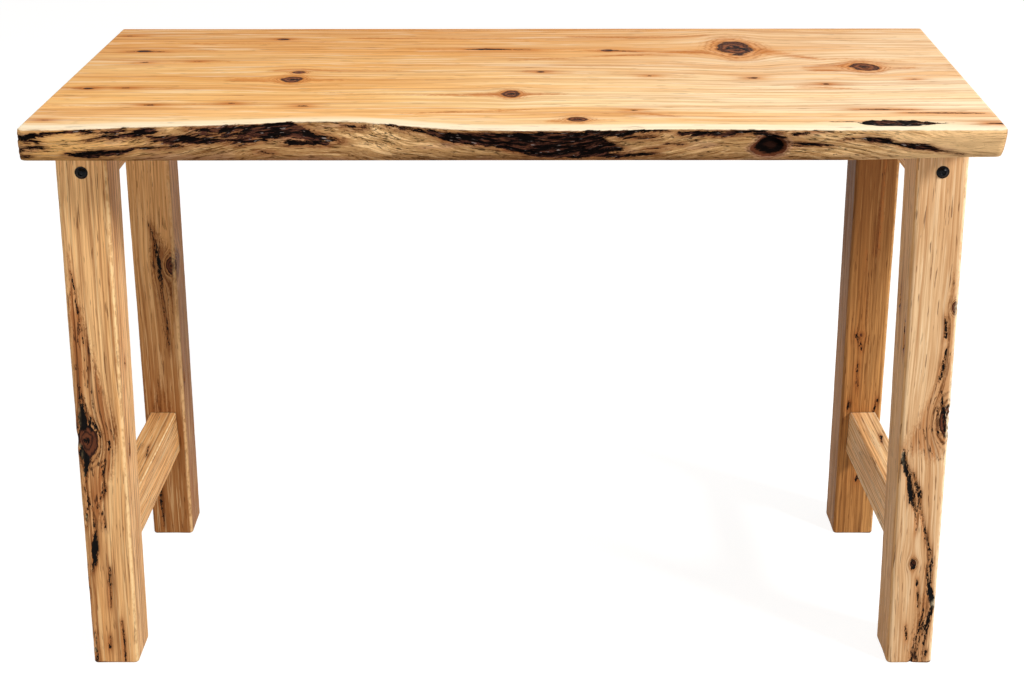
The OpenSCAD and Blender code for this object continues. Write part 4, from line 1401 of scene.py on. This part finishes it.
def build_stretcher(side):
    place, run = bar_place(side, STRETCHER_MIDDLE)
    body = bar_outline(BAR_THICKNESS, BAR_HEIGHT, BAR_EASE)
    tenon = bar_outline(TENON_THICKNESS, TENON_HEIGHT, TENON_EASE)
    reach = TENON_LENGTH - LEG_SIZE / 2
    rows = round((run - LEG_SIZE) / BAR_ROW_GAP)
    rings = [[(-reach, flat, near) for flat, near in tenon]]
    rings.append([(leg_face_at(place, "front", side, flat), flat, near) for flat, near in tenon])
    for i in range(rows + 1):
        ring = []
        for flat, near in body:
            first = leg_face_at(place, "front", side, flat)
            last = leg_face_at(place, "rear", side, flat)
            x = first + (last - first) * i / rows
            ring.append((x, flat * (1 - bar_cut(side, x, flat, near) / flat.length), near))
        rings.append(ring)
    rings.append([(leg_face_at(place, "rear", side, flat), flat, near) for flat, near in tenon])
    rings.append([(run + reach, flat, near) for flat, near in tenon])
    arris = [near for ring in rings for x, flat, near in ring]
    points = [[place @ (Vector((x, flat.x, flat.y)) * MM) for x, flat, near in ring] for ring in rings]
    return skin(f"stretcher_{side}_timber", points, {"arris": arris})


def stretcher_material(side, look):
    marks = {**NO_MARKS, "cracks": own_runs(STRETCHER_CRACKS[side])}
    return timber(f"stretcher_{side}_wood", look, bar_place(side, STRETCHER_MIDDLE)[0], marks)


# Bolts and hidden fittings

BOLT_SIDES = 72
TIP_BEVEL = 0.8
SEAT_BEVEL = 0.25
RIM_BEVEL = 0.3
FILLET_OUT = 0.35
FILLET_UP = 0.12
DOME_SHARES = (0.985, 0.95, 0.9, 0.82, 0.73, 0.64, 0.56)
SOCKET_EASE = 0.5
DRILL_HALF = 1.2
DRILL_DEPTH = 0.35


def hexagon_reach(angle, size):
    """Distance from the middle to the side of a hexagon that is size across its flats."""
    turned = (angle + math.pi / 6) % (math.pi / 3) - math.pi / 6
    return size / 2 / math.cos(turned)


def bolt_rings(seat):
    """Sections of a bolt from its tip to the floor of its socket, as radius and height above its seat."""
    dome_half = HEAD_D / 2 - RIM_WIDTH
    ball = (dome_half ** 2 + DOME_HEIGHT ** 2) / (2 * DOME_HEIGHT)

    def dome(radius):
        return RIM_THICKNESS + DOME_HEIGHT - ball + math.sqrt(ball ** 2 - radius ** 2)
    half = HEAD_D / 2
    shank = BOLT_D / 2
    tip = -BOLT_TIP - seat
    profile = [
        (shank - TIP_BEVEL, tip), (shank, tip + TIP_BEVEL), (shank, 0),
        (half - SEAT_BEVEL, 0), (half, SEAT_BEVEL), (half, RIM_THICKNESS - RIM_BEVEL),
        (half - RIM_BEVEL, RIM_THICKNESS), (dome_half + FILLET_OUT, RIM_THICKNESS),
        (dome_half, RIM_THICKNESS + FILLET_UP),
    ]
    profile += [(dome_half * share, dome(dome_half * share)) for share in DOME_SHARES]
    rings = [[(radius, height)] * BOLT_SIDES for radius, height in profile]
    rim = dome(KEY_SIZE / 2 + SOCKET_EASE)
    floor = RIM_THICKNESS + DOME_HEIGHT - KEY_DEPTH
    socket = [(0.45, rim), (0.2, rim - 0.12), (0.0, rim - 0.4), (0.0, floor + 0.15), (-0.25, floor)]
    sides = [hexagon_reach(2 * math.pi * i / BOLT_SIDES, KEY_SIZE) for i in range(BOLT_SIDES)]
    rings += [[(side + grow, height) for side in sides] for grow, height in socket]
    rings.append([(DRILL_HALF, floor - DRILL_DEPTH)] * BOLT_SIDES)
    return rings


def build_bolt(end, side):
    place, run = bar_place(side, RAIL_MIDDLE)
    outward = -1 if end == "front" else 1
    seat = LEG_SIZE / 2 - SEAT_DEPTH
    from_leg = 0 if end == "front" else run
    start = Vector((from_leg + outward * seat, 0, UNDERSIDE - BOLT_DROP - RAIL_MIDDLE))
    points = []
    for ring in bolt_rings(seat):
        row = []
        for i, (radius, height) in enumerate(ring):
            angle = 2 * math.pi * i / BOLT_SIDES
            off = Vector((outward * height, radius * math.cos(angle), radius * math.sin(angle)))
            row.append(place @ ((start + off) * MM))
        points.append(row)
    return skin(f"bolt_{end}_{side}_head", points, smooth_angle=28)


def black_steel():
    """Blackened steel: satin, a little uneven, with faint scuffs."""
    made, sheet = new_material("blackened_steel")
    place = sheet.node("ShaderNodeTexCoord").outputs["Object"]
    mottle = sheet.group(MOTTLE, {
        "Place": place, "Stretch": (260.0, 260.0, 260.0), "Smooth": 0.12, "Rough": 0.22,
        "Dark": colour(4, 6, 9), "Light": colour(12, 15, 19),
    })
    scuff = sheet.between(sheet.noise(place, (900.0, 2200.0, 900.0), detail=2.0), 0.62, 0.72)
    tone = sheet.mix(sheet.maths("MULTIPLY", scuff, 0.3), mottle["Tone"], colour(50, 54, 60))
    height = sheet.maths("MULTIPLY_ADD", scuff, -0.4, mottle["Height"])
    bump = sheet.node("ShaderNodeBump", {"Height": height, "Strength": 0.12, "Distance": 0.0003})
    surface(sheet, tone, mottle["Roughness"], bump.outputs[0], Specular_IOR_Level=0.1)
    return made


def zinc_steel():
    """Bright zinc plate on the hidden fittings, cloudy in colour and turned along its length."""
    made, sheet = new_material("zinc_plate")
    place = sheet.node("ShaderNodeTexCoord").outputs["Object"]
    cloudy = sheet.group(MOTTLE, {
        "Place": place, "Stretch": (120.0, 120.0, 120.0),
        "Dark": colour(150, 152, 154), "Light": colour(196, 198, 196),
    })
    turned = sheet.group(MOTTLE, {
        "Place": place, "Stretch": (1400.0, 240.0, 240.0), "Smooth": 0.28, "Rough": 0.46,
    })
    bump = sheet.node("ShaderNodeBump", {"Height": turned["Height"], "Strength": 0.15, "Distance": 0.0002})
    surface(sheet, cloudy["Tone"], turned["Roughness"], bump.outputs[0], Metallic=0.9)
    return made


def dress(node, material):
    """Gives a CAD node its material. Its mesh and place stay."""
    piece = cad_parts[node]
    piece.data.materials.clear()
    piece.data.materials.append(material)


def settle(piece, node, material):
    """Makes a new piece stand for a CAD node."""
    piece.data.materials.append(material)
    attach(piece, "root")
    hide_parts(node)


# Light, floor and camera

CAMERA_PLACE = (0.0015, -1.7368, 1.2266)
CAMERA_DOWN = 23.540
CAMERA_TURN = -0.157
CAMERA_ROLL = -0.087
CAMERA_LENS = 50.64
CAMERA_SHIFT_Y = -0.05

WHITE = (1, 1, 1, 1)
SKY_TINT = (1, 0.955, 0.88, 1)
SKY_STRENGTH = 0.29
FLOOR_REACH = 16
FLOOR_GREY = (0.5, 0.5, 0.5, 1)
SHADOW_GREY = (0.32, 0.32, 0.32, 1)
FLOOR_GLOW = 0.87
# Lights: name, place, what it points at, size across, watts and tint
LIGHTS = [
    ("key", (3.3, -2.0, 2.9), (0.05, 0, 0.5), 1.0, 194, (1, 0.985, 0.96)),
    ("top_fill", (-0.6, -0.2, 3.0), (0, 0, 0.5), 2.4, 20, (1, 1, 1)),
    ("front_fill", (-1.6, -3.4, 1.1), (-0.1, 0, 0.45), 2.2, 34, (1, 1, 1)),
]


def set_camera():
    data = bpy.data.cameras.new("view")
    data.sensor_width = 36
    data.lens = CAMERA_LENS
    data.shift_y = CAMERA_SHIFT_Y
    down, turn, roll = (math.radians(a) for a in (CAMERA_DOWN, CAMERA_TURN, CAMERA_ROLL))
    ahead = Vector((math.sin(turn) * math.cos(down), math.cos(turn) * math.cos(down), -math.sin(down)))
    level = ahead.cross(Vector((0, 0, 1))).normalized()
    over = level.cross(ahead)
    right = math.cos(roll) * level + math.sin(roll) * over
    up = math.cos(roll) * over - math.sin(roll) * level
    camera = bpy.data.objects.new("view", data)
    bpy.context.scene.collection.objects.link(camera)
    place = Matrix((right, up, -ahead)).transposed().to_4x4()
    place.translation = CAMERA_PLACE
    camera.matrix_world = place
    bpy.context.scene.camera = camera


def area_light(name, place, target, size, power, tint):
    data = bpy.data.lights.new(name, "AREA")
    data.shape = "DISK"
    data.size = size
    data.energy = power
    data.color = tint
    light = bpy.data.objects.new(name, data)
    light.location = place
    light.rotation_euler = (Vector(target) - Vector(place)).to_track_quat("-Z", "Y").to_euler()
    bpy.context.scene.collection.objects.link(light)


def showing(sheet):
    """1 for the rays that show the background itself: to the camera, in a reflection and through glass."""
    rays = sheet.node("ShaderNodeLightPath").outputs
    reflected = sheet.maths("MAXIMUM", rays["Is Glossy Ray"], rays["Is Transmission Ray"])
    return sheet.maths("MAXIMUM", rays["Is Camera Ray"], reflected)


def set_world():
    """White where it shows, a softer light for everything else."""
    world = bpy.data.worlds.new("studio")
    bpy.context.scene.world = world
    world.use_nodes = True
    world.node_tree.nodes.clear()
    sheet = Sheet(world.node_tree)
    soft = sheet.node("ShaderNodeBackground", {"Color": SKY_TINT, "Strength": SKY_STRENGTH})
    white = sheet.node("ShaderNodeBackground", {"Color": WHITE, "Strength": 1.0})
    both = sheet.node("ShaderNodeMixShader", {0: showing(sheet), 1: soft.outputs[0], 2: white.outputs[0]})
    sheet.node("ShaderNodeOutputWorld", {"Surface": both.outputs[0]})


def build_floor():
    """A wide pale floor that runs out to white for the camera and keeps the table's soft shadow."""
    mesh = bpy.data.meshes.new("floor")
    corners = [(x * FLOOR_REACH, y * FLOOR_REACH, 0) for x, y in ((-1, -1), (1, -1), (1, 1), (-1, 1))]
    mesh.from_pydata(corners, [], [(0, 1, 2, 3)])
    floor = bpy.data.objects.new("floor", mesh)
    bpy.context.scene.collection.objects.link(floor)
    made, sheet = new_material("pale_floor")
    plain = sheet.node("ShaderNodeBsdfDiffuse", {"Color": FLOOR_GREY})
    shade = sheet.node("ShaderNodeBsdfDiffuse", {"Color": SHADOW_GREY})
    glow = sheet.node("ShaderNodeEmission", {"Color": WHITE, "Strength": FLOOR_GLOW})
    bright = sheet.node("ShaderNodeAddShader", {0: shade.outputs[0], 1: glow.outputs[0]})
    both = sheet.node("ShaderNodeMixShader", {0: showing(sheet), 1: plain.outputs[0], 2: bright.outputs[0]})
    sheet.node("ShaderNodeOutputMaterial", {"Surface": both.outputs[0]})
    mesh.materials.append(made)


def set_lights():
    for light in LIGHTS:
        area_light(*light)


# Putting it together

def dress_slab():
    settle(build_slab(), "table_top", slab_material())


def dress_legs():
    fair = (colour(255, 230, 190), colour(232, 196, 152), colour(216, 172, 126), colour(164, 108, 58))
    tawny = (colour(248, 206, 150), colour(230, 176, 116), colour(210, 150, 92), colour(142, 86, 42))
    brown = (colour(216, 164, 104), colour(200, 144, 86), colour(178, 120, 66), colour(100, 60, 30))
    looks = {
        "front_left": leg_look((0, -0.16, 0.10), 2.0),
        "front_right": leg_look((0, 0.07, 0.11), 7.0, *fair),
        "rear_left": leg_look((0, -0.09, 0.06), 12.0, *tawny),
        "rear_right": leg_look((0, 0.03, 0.08), 17.0, *brown),
    }
    # Painted shadow of the slab: the rear right leg turns darker toward its top.
    looks["rear_right"]["deepening"] = (0.26, 0.60, 0.0, 0.85)
    looks["rear_left"]["deepening"] = (0.20, 0.50, 0.72, 0.0)
    looks["front_right"].update({"Late Wood Share": 0.45, "Streaks Share": 0.34, "Glints Share": 0.3})
    # The front right leg's side that faces left gets painted shade.
    looks["front_right"].update({"left side": (0.92, 0.80, 0.62, 1), "Stained": colour(180, 120, 72)})
    looks["rear_left"]["Stained"] = colour(126, 72, 36)
    looks["rear_right"]["Glints Share"] = 0.15
    for name, look in looks.items():
        # Each leg gets a painted contact shadow round its foot.
        look["foot"] = True
        settle(build_leg(name, look["Seed"]), f"leg_{name}", leg_material(name, look))


def dress_bars():
    warm = (colour(255, 232, 184), colour(246, 192, 128), colour(232, 170, 102), colour(150, 88, 40))
    # The right stretcher's paler tones are painted light that lifts the shade it stands in.
    bright = (colour(255, 238, 200), colour(255, 216, 162), colour(250, 198, 138), colour(160, 100, 52))
    for side, seed, tones in (("left", 23.0, warm), ("right", 29.0, bright)):
        look = leg_look((0, 0.16, -0.10), seed, *tones)
        run = bar_place(side, STRETCHER_MIDDLE)[1]
        look["Middle"] = run / 2 * MM
        look["Reach"] = (run - LEG_SIZE) / 2 * MM
        settle(build_stretcher(side), f"stretcher_{side}", stretcher_material(side, look))
        rail = leg_look((0, 0.02, -0.09), seed + 3.0, *warm)
        dress(f"top_rail_{side}", timber(f"top_rail_{side}_wood", rail, bar_place(side, RAIL_MIDDLE)[0]))


def dress_fittings():
    black = black_steel()
    zinc = zinc_steel()
    pale = (colour(240, 214, 172), colour(226, 196, 150), colour(212, 178, 128))
    lengthways = Matrix.Rotation(math.radians(90), 4, "Z")
    dowel = timber("dowel_wood", leg_look((0.02, 0.0, 0.03), 31.0, *pale), lengthways)
    for side in ("left", "right"):
        for end in ("front", "rear"):
            settle(build_bolt(end, side), f"leg_bolt_{end}_{side}", black)
            dress(f"barrel_nut_{end}_{side}", zinc)
            dress(f"rail_dowel_{end}_{side}", dowel)
        dress(f"top_screws_{side}", zinc)
        dress(f"screw_washers_{side}", zinc)


bpy.context.scene.view_settings.view_transform = "Standard"
dress_slab()
dress_legs()
dress_bars()
dress_fittings()
set_world()
set_lights()
build_floor()
set_camera()
